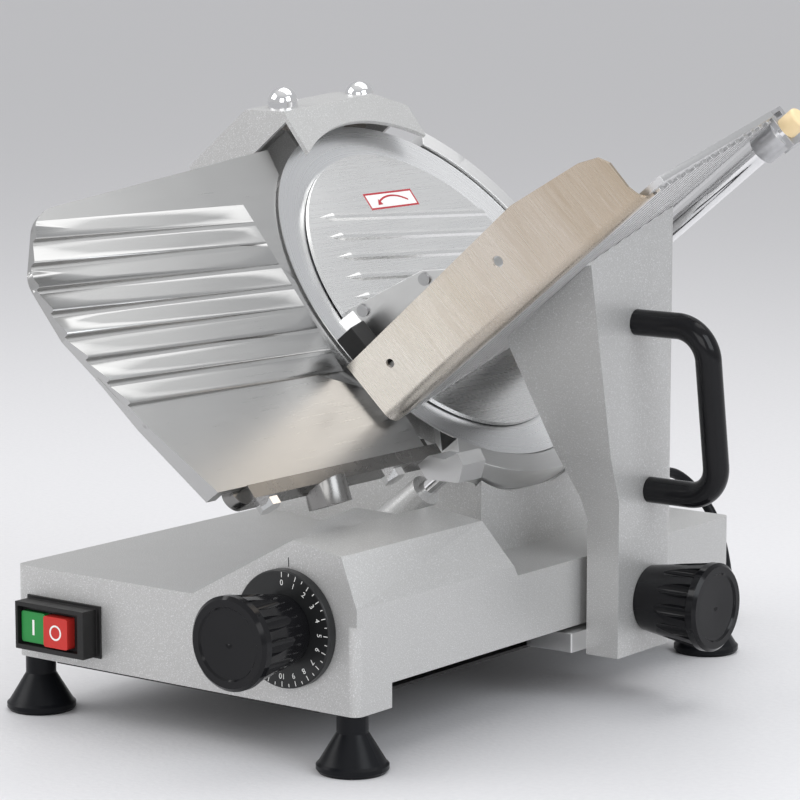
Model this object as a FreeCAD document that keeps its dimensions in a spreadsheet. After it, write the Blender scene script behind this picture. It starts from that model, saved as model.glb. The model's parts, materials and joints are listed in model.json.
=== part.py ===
import FreeCAD, Part
import math
import os
from types import SimpleNamespace

import Sketcher
from FreeCAD import Placement, Rotation, Vector

# Driving dimensions in millimetres and degrees. X runs along the front of the base from its left
# edge, Y runs back from its front panel and Z runs up from the table.
SIZES = dict(
    # The origin, seen from the left front bottom corner of the base
    middle_x=178.59,
    middle_y=152.5,
    # Base casting
    base_width=262,
    base_depth=396,
    base_bottom=34,
    deck_level=90,
    wall=4,
    base_corner=6,
    hump_left=140.7,
    ridge_x=216.7,
    ridge_level=131,
    shoulder_x=250.9,
    shoulder_level=125.3,
    cheek_level=96.3,
    hump_back_top=131,
    hump_back_foot=156,
    ledge_front=19,
    ledge_left=32,
    ledge_back=105,
    pedestal_level=150,
    pedestal_right=211,
    pedestal_front=189,
    pedestal_skew=46,
    pedestal_slope=254,
    ring_room=1.5,
    foot_pad=9.5,
    notch_level=48.6,
    notch_front=32.5,
    notch_back=345,
    cover_thick=1.7,
    cover_screw_radius=3,
    cover_screw_long=15,
    cover_screw_left=45,
    cover_screw_right=190,
    cover_screw_front=60,
    cover_screw_rear=340,
    cover_left=30,
    cover_right=232,
    # Feet
    foot_inset=10,
    foot_inset_right=11,
    foot_inset_back=10,
    foot_radius=21,
    foot_neck=9.2,
    foot_cone=23,
    foot_floor=8,
    foot_post=9,
    foot_screw=3,
    # Switch
    switch_left=10,
    switch_bottom=41,
    switch_wide=59.5,
    switch_tall=32,
    switch_flange=1.4,
    switch_hood=13,
    switch_back=24,
    button_wide=19.2,
    button_tall=18.8,
    button_travel=3,
    button_gap=0.25,
    button_apart=1.8,
    button_inset=4.2,
    button_rise=5.4,
    button_depth=10,
    green_front=10.6,
    red_front=14,
    switch_rim=3,
    # Blade and what carries it
    tilt=39,
    blade_radius=125,
    blade_y=242.2,
    blade_t=104,
    blade_plane=262,
    blade_thick=4,
    bevel_wide=21.5,
    bevel_rise=3,
    blade_screw=3,
    cover_gap=0.8,
    cover_plate=2.8,
    rib_pitch=14.9,
    dish_radius=118,
    dish_back=206,
    dish_front=244,
    ring_gap=1.5,
    ring_wide=12.5,
    ring_front=264,
    shaft_radius=10,
    bearing_radius=21,
    bearing_wide=8,
    hub_long=22,
    running=0.05,
    tie_rod=4,
    blade_pulley=42,
    motor_pulley=12,
    belt_thick=3,
    belt_wide=11,
    # Motor
    motor_y=262,
    motor_t=-10,
    motor_radius=38,
    motor_back=116,
    motor_long=78,
    rotor_shaft=6,
    rotor_radius=24,
    winding_inset=18,
    # Sharpener
    sharpener_left=176,
    sharpener_right=301,
    sharpener_front=277,
    sharpener_back=192,
    sharpener_left_top=235,
    sharpener_mid_top=243,
    sharpener_right_top=232,
    sharpener_shell=3,
    sharpener_lip=119,
    dome_x=51.5,
    dome_left_y=195,
    dome_right_y=273,
    dome_radius=9.5,
    dome_top=371,
    stem_long=22,
    # Gauge plate
    gauge_face=260,
    gauge_thick=4,
    gauge_travel=12,
    gauge_clear=1.2,
    rib_rise=3,
    rib_foot=13,
    bracket_left=-25,
    bracket_right=152,
    bracket_deep=8,
    boss_x=208,
    boss_y=45,
    boss_end=143,
    boss_radius=13,
    boss_tilt=20,
    gauge_rod_y=149,
    gauge_rod_t=-19.5,
    gauge_rod_radius=5,
    gauge_boss_wall=5,
    arm_front_face=38,
    block_front=133,
    block_back=156,
    # Thickness control
    dial_x=213.1,
    dial_z=79.9,
    dial_radius=34.3,
    dial_thick=6,
    knob_long=48,
    knob_radius=27.2,
    knob_root=20.5,
    flute_radius=4.6,
    # Carriage
    rod_x=224,
    rod_z=46.5,
    rod_radius=7.5,
    arm_inner=268,
    arm_right=291,
    arm_bottom=31,
    arm_front=220.5,
    arm_back=283,
    arm_tip_x=224,
    arm_tip_z=225,
    arm_elbow_z=115,
    handle_radius=8,
    handle_reach=49,
    handle_top_y=238,
    handle_top_z=236,
    handle_low_y=254.5,
    handle_low_z=131,
    handle_bend=20,
    lock_y=257,
    lock_z=63,
    lock_long=48,
    # Tray, seen from the lower corner of its wall
    tray_turn=13,
    tray_start=265,
    tray_y=120,
    tray_t=16.5,
    tray_long=240,
    tray_deep=181,
    tray_sheet=2,
    tray_fold=8,
    wall_long=227,
    wall_height=44,
    wall_peak=49,
    floor_thick=4,
    # Pusher
    pusher_rod_radius=7,
    pusher_rod_e=187.6,
    pusher_rod_w=-8,
    pusher_rod_long=229,
    slide_start=13,
    slide_long=62,
    bush_thick=1.2,
    press_e=25,
    press_long=85,
    press_height=66,
    # Mains lead
    cord_radius=3.5,
    gland_x=188,
    gland_z=106,
    coil_x=110,
    coil_y=480,
    coil_radius=52,
    coil_pitch=8.6,
)


class Size:
    """A number together with the formula of sheet cells that it comes from."""

    def __init__(self, value, formula):
        self.value = float(value)
        self.formula = formula

    def __add__(self, other):
        other = as_size(other)
        return Size(self.value + other.value, f"({self.formula} + {other.formula})")

    def __sub__(self, other):
        other = as_size(other)
        return Size(self.value - other.value, f"({self.formula} - {other.formula})")

    def __mul__(self, other):
        other = as_size(other)
        return Size(self.value * other.value, f"{self.formula} * {other.formula}")

    def __truediv__(self, other):
        other = as_size(other)
        return Size(self.value / other.value, f"{self.formula} / ({other.formula})")

    def __radd__(self, other):
        return as_size(other) + self

    def __rsub__(self, other):
        return as_size(other) - self

    def __rmul__(self, other):
        return as_size(other) * self

    def __rtruediv__(self, other):
        return as_size(other) / self

    def __neg__(self):
        return as_size(0) - self


def as_size(number):
    if isinstance(number, Size):
        return number
    text = f"{number:.10g}"
    return Size(number, f"({text})" if number < 0 else text)


def sine(angle):
    angle = as_size(angle)
    return Size(math.sin(math.radians(angle.value)), f"sin(({angle.formula}) * 1 deg)")


def cosine(angle):
    angle = as_size(angle)
    return Size(math.cos(math.radians(angle.value)), f"cos(({angle.formula}) * 1 deg)")


def root(number):
    return Size(math.sqrt(number.value), f"sqrt({number.formula})")


doc = FreeCAD.newDocument("MeatSlicer")
sheet = doc.addObject("Spreadsheet::Sheet", "Sizes")
for row, (word, amount) in enumerate(SIZES.items(), 1):
    sheet.set(f"A{row}", word)
    sheet.set(f"B{row}", str(amount))
    sheet.setAlias(f"B{row}", word)
doc.recompute()
S = SimpleNamespace(**{word: Size(amount, f"Sizes.{word}") for word, amount in SIZES.items()})

nodes = {}
used_names = {}


def fresh(name):
    """A new internal name for a step in making the named piece."""
    used_names[name] = used_names.get(name, 0) + 1
    return f"{name}_step{used_names[name]}"


def bind(thing, place, size):
    """Ties one property to its formula."""
    size = as_size(size)
    thing.setExpression(place, size.formula)
    return size.value


def node(name, thing):
    """Names a finished piece."""
    thing.Label = name
    nodes[name] = thing
    return thing


class Frame:
    """An origin and three directions, each written in the slicer's own X, Y and Z."""

    def __init__(self, origin, axes):
        self.origin = origin
        self.axes = axes
        vectors = [Vector(*(as_size(part).value for part in axis)) for axis in axes]
        self.rotation = Rotation(vectors[0], vectors[1], vectors[2], "ZXY")

    def at(self, a, b, c):
        steps = [a, b, c]
        place = []
        for row in range(3):
            total = as_size(self.origin[row])
            for step, axis in zip(steps, self.axes):
                share = axis[row]
                if isinstance(share, Size) or share != 0:
                    total = total + as_size(step) * as_size(share)
            place.append(total)
        return place

    def point(self, a, b, c):
        return Vector(*(part.value for part in self.at(a, b, c)))

    def moved(self, a, b, c):
        return Frame(self.at(a, b, c), self.axes)


def turned(frame, angle):
    """The frame turned about its own second axis, the third axis leaning to the first."""
    first, second, third = frame.axes
    new_first = [cosine(angle) * one - sine(angle) * three for one, three in zip(first, third)]
    new_third = [sine(angle) * one + cosine(angle) * three for one, three in zip(first, third)]
    return Frame(frame.origin, [new_first, second, new_third])


def set_place(thing, frame, corner, turn=None):
    place = frame.at(*corner)
    rotation = frame.rotation if turn is None else frame.rotation.multiply(turn)
    thing.Placement = Placement(Vector(*(part.value for part in place)), rotation)
    for axis, part in zip("xyz", place):
        bind(thing, f"Placement.Base.{axis}", part)


# Turns that point a cylinder or cone along each axis of its frame
TURNS = {
    "a": Rotation(Vector(0, 1, 0), 90),
    "b": Rotation(Vector(1, 0, 0), -90),
    "c": Rotation(),
    "-a": Rotation(Vector(0, 1, 0), -90),
    "-b": Rotation(Vector(1, 0, 0), 90),
    "-c": Rotation(Vector(1, 0, 0), 180),
}


def box(name, frame, corner, sides):
    made = doc.addObject("Part::Box", fresh(name))
    for place, side in zip(("Length", "Width", "Height"), sides):
        bind(made, place, side)
    set_place(made, frame, corner)
    return made


def bar(name, frame, low, high):
    """A block between two corners of its frame."""
    return box(name, frame, low, [as_size(top) - bottom for bottom, top in zip(low, high)])


def round_bar(name, frame, start, along, radius, length):
    made = doc.addObject("Part::Cylinder", fresh(name))
    bind(made, "Radius", radius)
    bind(made, "Height", length)
    set_place(made, frame, start, TURNS[along])
    return made


def cone(name, frame, start, along, first, last, length):
    made = doc.addObject("Part::Cone", fresh(name))
    bind(made, "Radius1", first)
    bind(made, "Radius2", last)
    bind(made, "Height", length)
    set_place(made, frame, start, TURNS[along])
    return made


def ball(name, frame, centre, radius):
    made = doc.addObject("Part::Sphere", fresh(name))
    bind(made, "Radius", radius)
    set_place(made, frame, centre)
    return made


def hexagon(name, frame, start, along, flats, height):
    made = doc.addObject("Part::Prism", fresh(name))
    made.Polygon = 6
    bind(made, "Circumradius", flats / cosine(30) / 2)
    bind(made, "Height", height)
    set_place(made, frame, start, TURNS[along])
    return made


def fuse(name, *pieces):
    made = doc.addObject("Part::MultiFuse", fresh(name))
    made.Shapes = list(pieces)
    made.Refine = True
    return made


def cut(name, base, *tools):
    made = doc.addObject("Part::Cut", fresh(name))
    made.Base = base
    made.Tool = tools[0] if len(tools) == 1 else fuse(name, *tools)
    made.Refine = True
    return made


def common(name, first, second):
    made = doc.addObject("Part::Common", fresh(name))
    made.Base = first
    made.Tool = second
    return made


def group(name, *pieces):
    made = doc.addObject("Part::Compound", fresh(name))
    made.Links = list(pieces)
    return made


def soften(name, base, radius, test):
    """Rounds the edges of a finished shape whose middle and direction pass the test."""
    doc.recompute()
    made = doc.addObject("Part::Fillet", fresh(name))
    made.Base = base
    made.Edges = [(number, radius, radius) for number in matching_edges(base.Shape, test)]
    return made


def matching_edges(shape, test):
    found = []
    for number, edge in enumerate(shape.Edges, 1):
        first, last = edge.FirstParameter, edge.LastParameter
        middle = edge.valueAt((first + last) / 2)
        direction = edge.tangentAt((first + last) / 2)
        if test(middle, direction):
            found.append(number)
    if not found:
        raise ValueError("no edge matches")
    return found


class Cast:
    """A body made by sketches, pads and pockets in its own frame."""

    planes = {"ab": "XY_Plane", "ac": "XZ_Plane", "bc": "YZ_Plane"}

    def __init__(self, name, frame):
        self.name = name
        self.body = doc.addObject("PartDesign::Body", fresh(name))
        set_place(self.body, frame, (0, 0, 0))

    def sketch(self, plane, outline, start=0, circles=()):
        made = self.body.newObject("Sketcher::SketchObject", fresh(self.name + "_sketch"))
        role = self.planes[plane]
        support = [item for item in self.body.Origin.OriginFeatures if item.Role == role][0]
        made.AttachmentSupport = [(support, "")]
        made.MapMode = "FlatFace"
        start = -as_size(start) if plane == "ac" else as_size(start)
        made.AttachmentOffset = Placement(Vector(0, 0, start.value), Rotation())
        bind(made, "AttachmentOffset.Base.z", start)
        corners = [(as_size(across), as_size(up)) for across, up in outline]
        for number, (across, up) in enumerate(corners):
            after, over = corners[(number + 1) % len(corners)]
            line = Part.LineSegment(Vector(across.value, up.value, 0), Vector(after.value, over.value, 0))
            made.addGeometry(line, False)
        for number in range(len(corners)):
            made.addConstraint(Sketcher.Constraint("Coincident", number, 2, (number + 1) % len(corners), 1))
        for number, (across, up) in enumerate(corners):
            self.pin(made, number, 1, across, up)
        for across, up, radius in circles:
            across, up, radius = as_size(across), as_size(up), as_size(radius)
            ring = Part.Circle(Vector(across.value, up.value, 0), Vector(0, 0, 1), radius.value)
            number = made.addGeometry(ring, False)
            self.pin(made, number, 3, across, up)
            index = made.addConstraint(Sketcher.Constraint("Radius", number, radius.value))
            made.setExpression(f"Constraints[{index}]", radius.formula)
        return made

    def pin(self, sketch, number, end, across, up):
        for word, size in (("DistanceX", across), ("DistanceY", up)):
            index = sketch.addConstraint(Sketcher.Constraint(word, -1, 1, number, end, size.value))
            sketch.setExpression(f"Constraints[{index}]", size.formula)

    def feature(self, kind, sketch):
        made = self.body.newObject(f"PartDesign::{kind}", fresh(self.name + "_" + kind.lower()))
        made.Profile = sketch
        return made

    def pad(self, plane, outline, start, length, circles=()):
        """Adds the outline from its start along the plane's third axis."""
        made = self.feature("Pad", self.sketch(plane, outline, start, circles))
        made.Reversed = plane == "ac"
        bind(made, "Length", length)
        return made

    def pocket(self, plane, outline, start, length, circles=()):
        """Takes the outline away from its start along the plane's third axis."""
        doc.recompute()
        before = self.body.Shape.Volume
        made = self.feature("Pocket", self.sketch(plane, outline, start, circles))
        made.Reversed = plane != "ac"
        bind(made, "Length", length)
        doc.recompute()
        if self.body.Shape.Volume >= before - 1e-6:
            raise ValueError(f"{self.name}: a pocket took nothing away")
        return made

    def turn(self, outline):
        """Turns the outline, given as radius and height, about the third axis."""
        profile = self.sketch("ac", outline)
        made = self.feature("Revolution", profile)
        made.ReferenceAxis = (profile, ["V_Axis"])
        made.Angle = 360
        return made

    def along_b(self, feature, length, copies):
        """Repeats a feature along the second axis."""
        made = self.body.newObject("PartDesign::LinearPattern", fresh(self.name + "_pattern"))
        made.Originals = [feature]
        second = [item for item in self.body.Origin.OriginFeatures if item.Role == "Y_Axis"][0]
        made.Direction = (second, [""])
        bind(made, "Length", length)
        made.Occurrences = copies
        self.body.Tip = made
        return made

    def fillet(self, radius, test):
        doc.recompute()
        base = self.body.Tip
        names = [f"Edge{number}" for number in matching_edges(base.Shape, test)]
        made = self.body.newObject("PartDesign::Fillet", fresh(self.name + "_fillet"))
        made.Base = (base, names)
        bind(made, "Radius", radius)
        return made


def loft(name, frame, sections, ruled=True):
    """A solid through outlines of (b, c) corners, each at its own place along the first axis."""
    holder = Cast(name, frame)
    profiles = [holder.sketch("bc", outline, place) for place, outline in sections]
    made = holder.body.newObject("PartDesign::AdditiveLoft", fresh(name + "_loft"))
    made.Profile = profiles[0]
    made.Sections = profiles[1:]
    made.Ruled = ruled
    return holder.body


# The three frames. Ground has the slicer's X, Y and Z. Knife lies in the plane of the blade: first
# axis back, second axis up the blade, third axis out of its face. Tray lies on the tray: first axis
# away from the blade, second axis back, third axis up from its floor.
ground = Frame([-S.middle_x, -S.middle_y, 0], [[1, 0, 0], [0, 1, 0], [0, 0, 1]])
out_of_blade = [cosine(S.tilt), 0, sine(S.tilt)]
up_blade = [-sine(S.tilt), 0, cosine(S.tilt)]
knife = Frame(ground.origin, [[0, 1, 0], up_blade, out_of_blade])
tray_back = [sine(S.tray_turn) * up_blade[0], cosine(S.tray_turn), sine(S.tray_turn) * up_blade[2]]
tray_up = [cosine(S.tray_turn) * up_blade[0], -sine(S.tray_turn), cosine(S.tray_turn) * up_blade[2]]
tray = Frame(knife.at(S.tray_y, S.tray_t, S.tray_start), [out_of_blade, tray_back, tray_up])
spin = knife.moved(S.blade_y, S.blade_t, 0)


def rectangle(left, bottom, right, top):
    return [(left, bottom), (right, bottom), (right, top), (left, top)]


def upright(middle, direction):
    return abs(direction.z) > 0.999


def foot_places():
    right = S.base_width - S.foot_inset_right
    back = S.base_depth - S.foot_inset_back
    return [(S.foot_inset, S.foot_inset), (right, S.foot_inset), (S.foot_inset, back), (right, back)]


def post_span(middle, across):
    """A foot post's two sides: one reaches into the base's nearest wall, the other past the foot."""
    if middle.value < across.value / 2:
        return S.wall - 1, middle + S.foot_post
    return middle - S.foot_post, across - S.wall + 1


def cover_screw_places():
    """Each screw's place and the height of the roof that its post hangs from."""
    left, right = S.cover_screw_left, S.cover_screw_right
    front, rear = S.cover_screw_front, S.cover_screw_rear
    inside = S.wall / 2
    share = (right - S.hump_left) / (S.ridge_x - S.hump_left)
    hump = S.deck_level + (S.ridge_level - S.deck_level) * share
    return [
        (left, front, S.deck_level - inside),
        (right, front, hump - inside),
        (left, rear, S.pedestal_level - inside),
        (right, rear, S.pedestal_level - inside),
    ]


# Base: a thin casting, open below, with a hump for the thickness control and a pedestal that
# carries the blade and hides the motor
def base_casting():
    cast = Cast("base_casting", ground)
    wide, deep, wall = S.base_width, S.base_depth, S.wall
    deck_high = S.deck_level - S.base_bottom
    cast.pad("ab", rectangle(0, 0, wide, deep), S.base_bottom, deck_high)
    cast.fillet(S.base_corner, upright)
    hump = [
        (S.hump_left, S.deck_level),
        (S.ridge_x, S.ridge_level),
        (S.shoulder_x, S.shoulder_level),
        (wide, S.cheek_level),
        (wide, S.deck_level - wall),
        (S.hump_left, S.deck_level - wall),
    ]
    cast.pad("ac", hump, 0, S.hump_back_foot)
    back_slope = [
        (S.hump_back_top, S.ridge_level),
        (S.hump_back_foot, S.deck_level),
        (S.hump_back_foot + 1, S.deck_level),
        (S.hump_back_foot + 1, S.ridge_level + 1),
        (S.hump_back_top, S.ridge_level + 1),
    ]
    cast.pocket("bc", back_slope, S.hump_left - 1, wide - S.hump_left + 2)
    ledge_left = S.ridge_x - S.ledge_left
    ledge = [
        (S.ridge_x, S.ledge_front),
        (S.ridge_x - 5.7, S.ledge_front),
        (ledge_left + 4.8, S.ledge_front + 36),
        (ledge_left - 5.7, S.ledge_back),
        (S.ridge_x, S.ledge_back - 2),
    ]
    cast.pad("ab", ledge, S.deck_level - 1, S.ridge_level - S.deck_level - 0.5)
    front_left = S.pedestal_front + S.pedestal_skew
    pedestal = [(0, front_left), (S.pedestal_right, S.pedestal_front), (S.pedestal_right, deep), (0, deep)]
    cast.pad("ab", pedestal, S.deck_level - 1, S.pedestal_level - S.deck_level + 1)
    low, high = S.deck_level, S.pedestal_level + 1
    blade_side = [
        (slope_x(S.pedestal_slope, low), low),
        (wide + 1, low),
        (wide + 1, high),
        (slope_x(S.pedestal_slope, high), high),
    ]
    cast.pocket("ac", blade_side, S.hump_back_foot + 2, deep)
    hollow_base(cast)
    return finish_base(cast)


def slope_x(plane, level):
    """Where a plane parallel to the blade cuts a level."""
    return (plane - level * sine(S.tilt)) / cosine(S.tilt)


def slope_level(plane, x):
    """How high a plane parallel to the blade stands at a place across the base."""
    return (plane - x * cosine(S.tilt)) / sine(S.tilt)


def hollow_base(cast):
    wide, deep, wall = S.base_width, S.base_depth, S.wall
    under = S.base_bottom - 1
    cast.pocket("ab", rectangle(wall, wall, wide - wall, deep - wall), under, S.deck_level - wall - under)
    inner_hump = [
        (S.hump_left + 2 * wall, S.deck_level - wall - 1),
        (S.hump_left + 2 * wall, S.deck_level),
        (S.ridge_x, S.ridge_level - wall),
        (S.shoulder_x - wall / 2, S.shoulder_level - wall),
        (wide - wall, S.cheek_level - wall / 2),
        (wide - wall, S.deck_level - wall - 1),
    ]
    cast.pocket("ac", inner_hump, wall, S.hump_back_top - 2 * wall)
    front_left = S.pedestal_front + S.pedestal_skew
    inner_pedestal = [
        (wall, front_left + wall),
        (S.pedestal_right - 2 * wall, S.pedestal_front + 1.5 * wall),
        (S.pedestal_right - 2 * wall, deep - wall),
        (wall, deep - wall),
    ]
    start = S.deck_level - wall - 1
    cast.pocket("ab", inner_pedestal, start, S.pedestal_level - wall - start)
    back_of_ring = S.dish_front - 0.5
    right = S.pedestal_right - wall
    ring_wall = [
        (slope_x(back_of_ring - wall, S.pedestal_level - 2), S.pedestal_level - 2),
        (slope_x(back_of_ring, S.pedestal_level - 2), S.pedestal_level - 2),
        (right, slope_level(back_of_ring, right)),
        (right, slope_level(back_of_ring - wall, right)),
    ]
    cast.pad("ac", ring_wall, S.pedestal_front + wall, deep - S.pedestal_front - 1.5 * wall)
    belt_slot = rectangle(slope_x(S.dish_back - 2, S.pedestal_level), S.motor_y - 48,
                          slope_x(S.dish_back + 18, S.pedestal_level), S.motor_y + 28)
    cast.pocket("ab", belt_slot, S.pedestal_level - wall - 1, wall + 2)
    notch = rectangle(S.notch_front, under, S.notch_back, S.notch_level)
    cast.pocket("bc", notch, wide - wall - 1, wall + 2)
    for x, y in foot_places():
        left, right = post_span(x, wide)
        front, back = post_span(y, deep)
        cast.pad("ab", rectangle(left, front, right, back), S.base_bottom, S.foot_pad)
    for x, y, roof in cover_screw_places():
        cast.pad("ab", [], S.base_bottom, roof - S.base_bottom, [(x, y, 2 * S.cover_screw_radius)])


def finish_base(cast):
    """Bosses for the carriage rod, the gauge rod and the control spindle, and their bores."""
    deep, wall = S.base_depth, S.wall
    end = 2.5 * wall
    name = cast.name
    rod_bosses = [
        round_bar(name, ground, (S.rod_x, wall - 1, S.rod_z), "b", S.rod_radius + 4.5, end + 1),
        round_bar(name, ground, (S.rod_x, deep - wall - end, S.rod_z), "b", S.rod_radius + 4.5, end + 1),
        round_bar(name, ground, (S.dial_x, wall - 1, S.dial_z), "b", 2 * S.rotor_shaft, end + 1),
    ]
    boss_low = 140
    boss_top = S.gauge_face - S.gauge_travel - 8
    gauge_boss = round_bar(name, knife, (S.gauge_rod_y, S.gauge_rod_t, boss_low), "c",
                           S.gauge_rod_radius + S.gauge_boss_wall, boss_top - boss_low)
    screws = [
        round_bar(name, ground, (x, y, S.base_bottom - 1), "c", S.cover_screw_radius,
                  S.cover_screw_long + 1)
        for x, y, _ in cover_screw_places()
    ]
    for x, y in foot_places():
        screws.append(round_bar(name, ground, (x, y, S.base_bottom - 1), "c", S.foot_screw, S.foot_pad))
    ring_room = round_bar(name, spin, (0, 0, S.dish_front - 0.5), "c",
                          S.blade_radius + S.ring_gap + S.ring_wide + S.ring_room, 40)
    rim = S.switch_rim
    switch_hole = bar(
        name,
        ground,
        (S.switch_left + rim, -1, S.switch_bottom + rim),
        (S.switch_left + S.switch_wide - rim, wall + 1, S.switch_bottom + S.switch_tall - rim),
    )
    bores = [
        round_bar(name, ground, (S.rod_x, wall, S.rod_z), "b", S.rod_radius, deep - 2 * wall),
        round_bar(name, ground, (S.dial_x, -1, S.dial_z), "b", S.rotor_shaft + S.running, 30),
        round_bar(name, knife, (S.gauge_rod_y, S.gauge_rod_t, boss_low - 10), "c",
                  S.gauge_rod_radius + S.running, boss_top - boss_low + 20),
        round_bar(name, ground, (S.gland_x, deep - 2 * wall, S.gland_z), "b", 6, 3 * wall),
        switch_hole,
    ]
    whole = fuse(name, cast.body, gauge_boss, *rod_bosses)
    return node(name, cut(name, whole, ring_room, *bores, *screws))


def bottom_cover():
    name = "bottom_cover"
    low = S.base_bottom - S.cover_thick
    edge = S.wall - 1
    plate = bar(name, ground, (S.cover_left, edge, low), (S.cover_right, S.base_depth - edge, S.base_bottom))
    holes = [
        round_bar(name, ground, (x, y, low - 1), "c", S.cover_screw_radius, 5)
        for x, y, _ in cover_screw_places()
    ]
    node(name, cut(name, plate, *holes))
    name = "cover_screws"
    screws = []
    head_thick = 2.2
    for x, y, _ in cover_screw_places():
        head = round_bar(name, ground, (x, y, low - head_thick), "c", 2 * S.cover_screw_radius, head_thick)
        shank = round_bar(name, ground, (x, y, low), "c", S.cover_screw_radius, S.cover_screw_long)
        screws.append(fuse(name, head, shank))
    node(name, group(name, *screws))


def feet():
    name = "feet"
    rubbers, screws = [], []
    for x, y in foot_places():
        foot = Cast(name, ground.moved(x, y, 0))
        neck = S.foot_neck
        head_room = 2.6 * S.foot_screw
        foot.turn([
            (S.foot_screw, S.foot_floor),
            (head_room, S.foot_floor),
            (head_room, 0),
            (S.foot_radius - 1.5, 0),
            (S.foot_radius, 2),
            (S.foot_radius, 4.5),
            (S.foot_radius - 1.5, 6),
            (neck, S.foot_cone),
            (neck, S.base_bottom),
            (S.foot_screw, S.base_bottom),
        ])
        rubbers.append(foot.body)
        head = round_bar("foot_screws", ground, (x, y, S.foot_floor - 4), "c", 2 * S.foot_screw, 4)
        shank = round_bar("foot_screws", ground, (x, y, S.foot_floor), "c", S.foot_screw,
                          S.base_bottom - S.foot_floor + S.foot_pad - 1.5)
        screws.append(fuse("foot_screws", head, shank))
    node(name, group(name, *rubbers))
    node("foot_screws", group("foot_screws", *screws))


# Switch: a flanged housing with a hood round two buttons that travel back into it
def switch():
    name = "switch_housing"
    left, bottom = S.switch_left, S.switch_bottom
    right, top = left + S.switch_wide, bottom + S.switch_tall
    flange = bar(name, ground, (left, -S.switch_flange, bottom), (right, 0, top))
    rim = S.switch_rim
    hood = bar(name, ground, (left + 1, -S.switch_hood, bottom + 1), (right - rim, 0, top - 2))
    inside = bar(name, ground, (left + rim, 0, bottom + rim), (right - rim, S.switch_back, top - rim))
    wells = []
    for place in (green_left(), red_left()):
        gap = S.button_gap
        low = (place - gap, -S.switch_hood - 1, button_bottom() - gap)
        high = (place + S.button_wide + gap, S.button_depth, button_bottom() + S.button_tall + gap)
        wells.append(bar(name, ground, low, high))
    front_cut = bar(name, ground, (left + rim, -S.switch_hood - 1, bottom + 4),
                    (right - 8, -S.switch_hood + 5, top - 4.6))
    node(name, cut(name, fuse(name, flange, hood, inside), front_cut, *wells))
    button("on_button", green_left(), S.green_front)
    button("off_button", red_left(), S.red_front)


def green_left():
    return S.switch_left + S.button_inset


def red_left():
    return green_left() + S.button_wide + S.button_apart


def button_bottom():
    return S.switch_bottom + S.button_rise


def button(name, left, front):
    low = (left, -front, button_bottom())
    back = S.button_depth - S.button_travel - 0.5
    high = (left + S.button_wide, back, button_bottom() + S.button_tall)
    block = bar(name, ground, low, high)
    node(name, soften(name, block, 1.5, lambda middle, way: abs(way.y) > 0.9))


# Blade housing: a dish behind the blade that holds the bearings and the belt drive
def blade_housing():
    cast = Cast("blade_housing", spin)
    deep = S.dish_front - S.dish_back
    cast.pad("ab", [], S.dish_back, deep, [(0, 0, S.dish_radius)])
    boss_top = S.dish_radius + 4
    cast.pad("ab", rectangle(-16, S.dish_radius - 8, 16, boss_top), S.dish_back + 4, 26)
    head_start = S.sharpener_back + S.sharpener_shell
    post = rectangle(-9, boss_top - 1, 9, clamp_t() + 12)
    cast.pad("ab", post, head_start, S.dish_back + 26 - head_start)
    cast.pocket("ab", [], S.dish_back - 1, deep - S.wall + 1, [(0, 0, S.dish_radius - S.wall)])
    hub_back = S.dish_front - S.hub_long
    cast.pad("ab", [], hub_back, S.hub_long, [(0, 0, S.bearing_radius + 7)])
    cast.pocket("ab", [], hub_back - 1, S.hub_long + 2, [(0, 0, S.bearing_radius)])
    bolt = round_bar(cast.name, spin, (0, clamp_t(), S.sharpener_back), "c", S.tie_rod + S.running, 34)
    node(cast.name, cut(cast.name, cast.body, below_pedestal(cast.name), bolt))
    name = "housing_rear_cover"
    start = S.dish_back - 3
    disc = round_bar(name, spin, (0, 0, start), "c", S.dish_radius, 3)
    hole = round_bar(name, spin, (0, 0, start - 1), "c", S.tie_rod + 0.5, 5)
    node(name, cut(name, disc, below_pedestal(name), hole))


def below_pedestal(name):
    return bar(name, ground, (0, 0, 0), (300, S.base_depth + 10, S.pedestal_level))


def spindle():
    name = "spindle_bearings"
    rings = []
    for start in (S.dish_front - S.hub_long + 1, S.dish_front - 1 - S.bearing_wide):
        ring = round_bar(name, spin, (0, 0, start), "c", S.bearing_radius, S.bearing_wide)
        bore = round_bar(name, spin, (0, 0, start - 1), "c", S.shaft_radius + S.running, 12)
        rings.append(cut(name, ring, bore))
    node(name, group(name, *rings))
    name = "blade_spindle"
    back = blade_back()
    shaft = round_bar(name, spin, (0, 0, S.dish_back + 1), "c", S.shaft_radius, back - S.dish_back - 1)
    flange = round_bar(name, spin, (0, 0, back - 4), "c", S.shaft_radius + 14, 4)
    nose = round_bar(name, spin, (0, 0, back), "c", S.shaft_radius + 2, S.blade_thick)
    bore = round_bar(name, spin, (0, 0, S.dish_back), "c", S.tie_rod + 1, 80)
    node(name, cut(name, fuse(name, shaft, flange, nose), bore, *blade_screw_rods(name)))
    name = "blade_pulley"
    start = S.dish_back + 2
    wheel = round_bar(name, spin, (0, 0, start), "c", S.blade_pulley, S.belt_wide)
    hub = round_bar(name, spin, (0, 0, start - 1), "c", S.shaft_radius, 20)
    ring = cut(name, round_bar(name, spin, (0, 0, start - 1), "c", S.blade_pulley - 6, 4),
               round_bar(name, spin, (0, 0, start - 2), "c", S.shaft_radius + 8, 6))
    node(name, cut(name, wheel, hub, ring))


def blade_screw_rods(name):
    """Three screws that hold the blade against the flange of its spindle."""
    reach = S.shaft_radius + 8
    rods = []
    for angle in (90, 210, 330):
        start = (reach * cosine(angle), reach * sine(angle), blade_back() - 4)
        rods.append(round_bar(name, spin, start, "c", S.blade_screw, S.blade_thick + 4))
    return rods


def blade_front():
    """The flat middle of the blade lies behind the plane of its edge."""
    return S.blade_plane - S.bevel_rise


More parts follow.
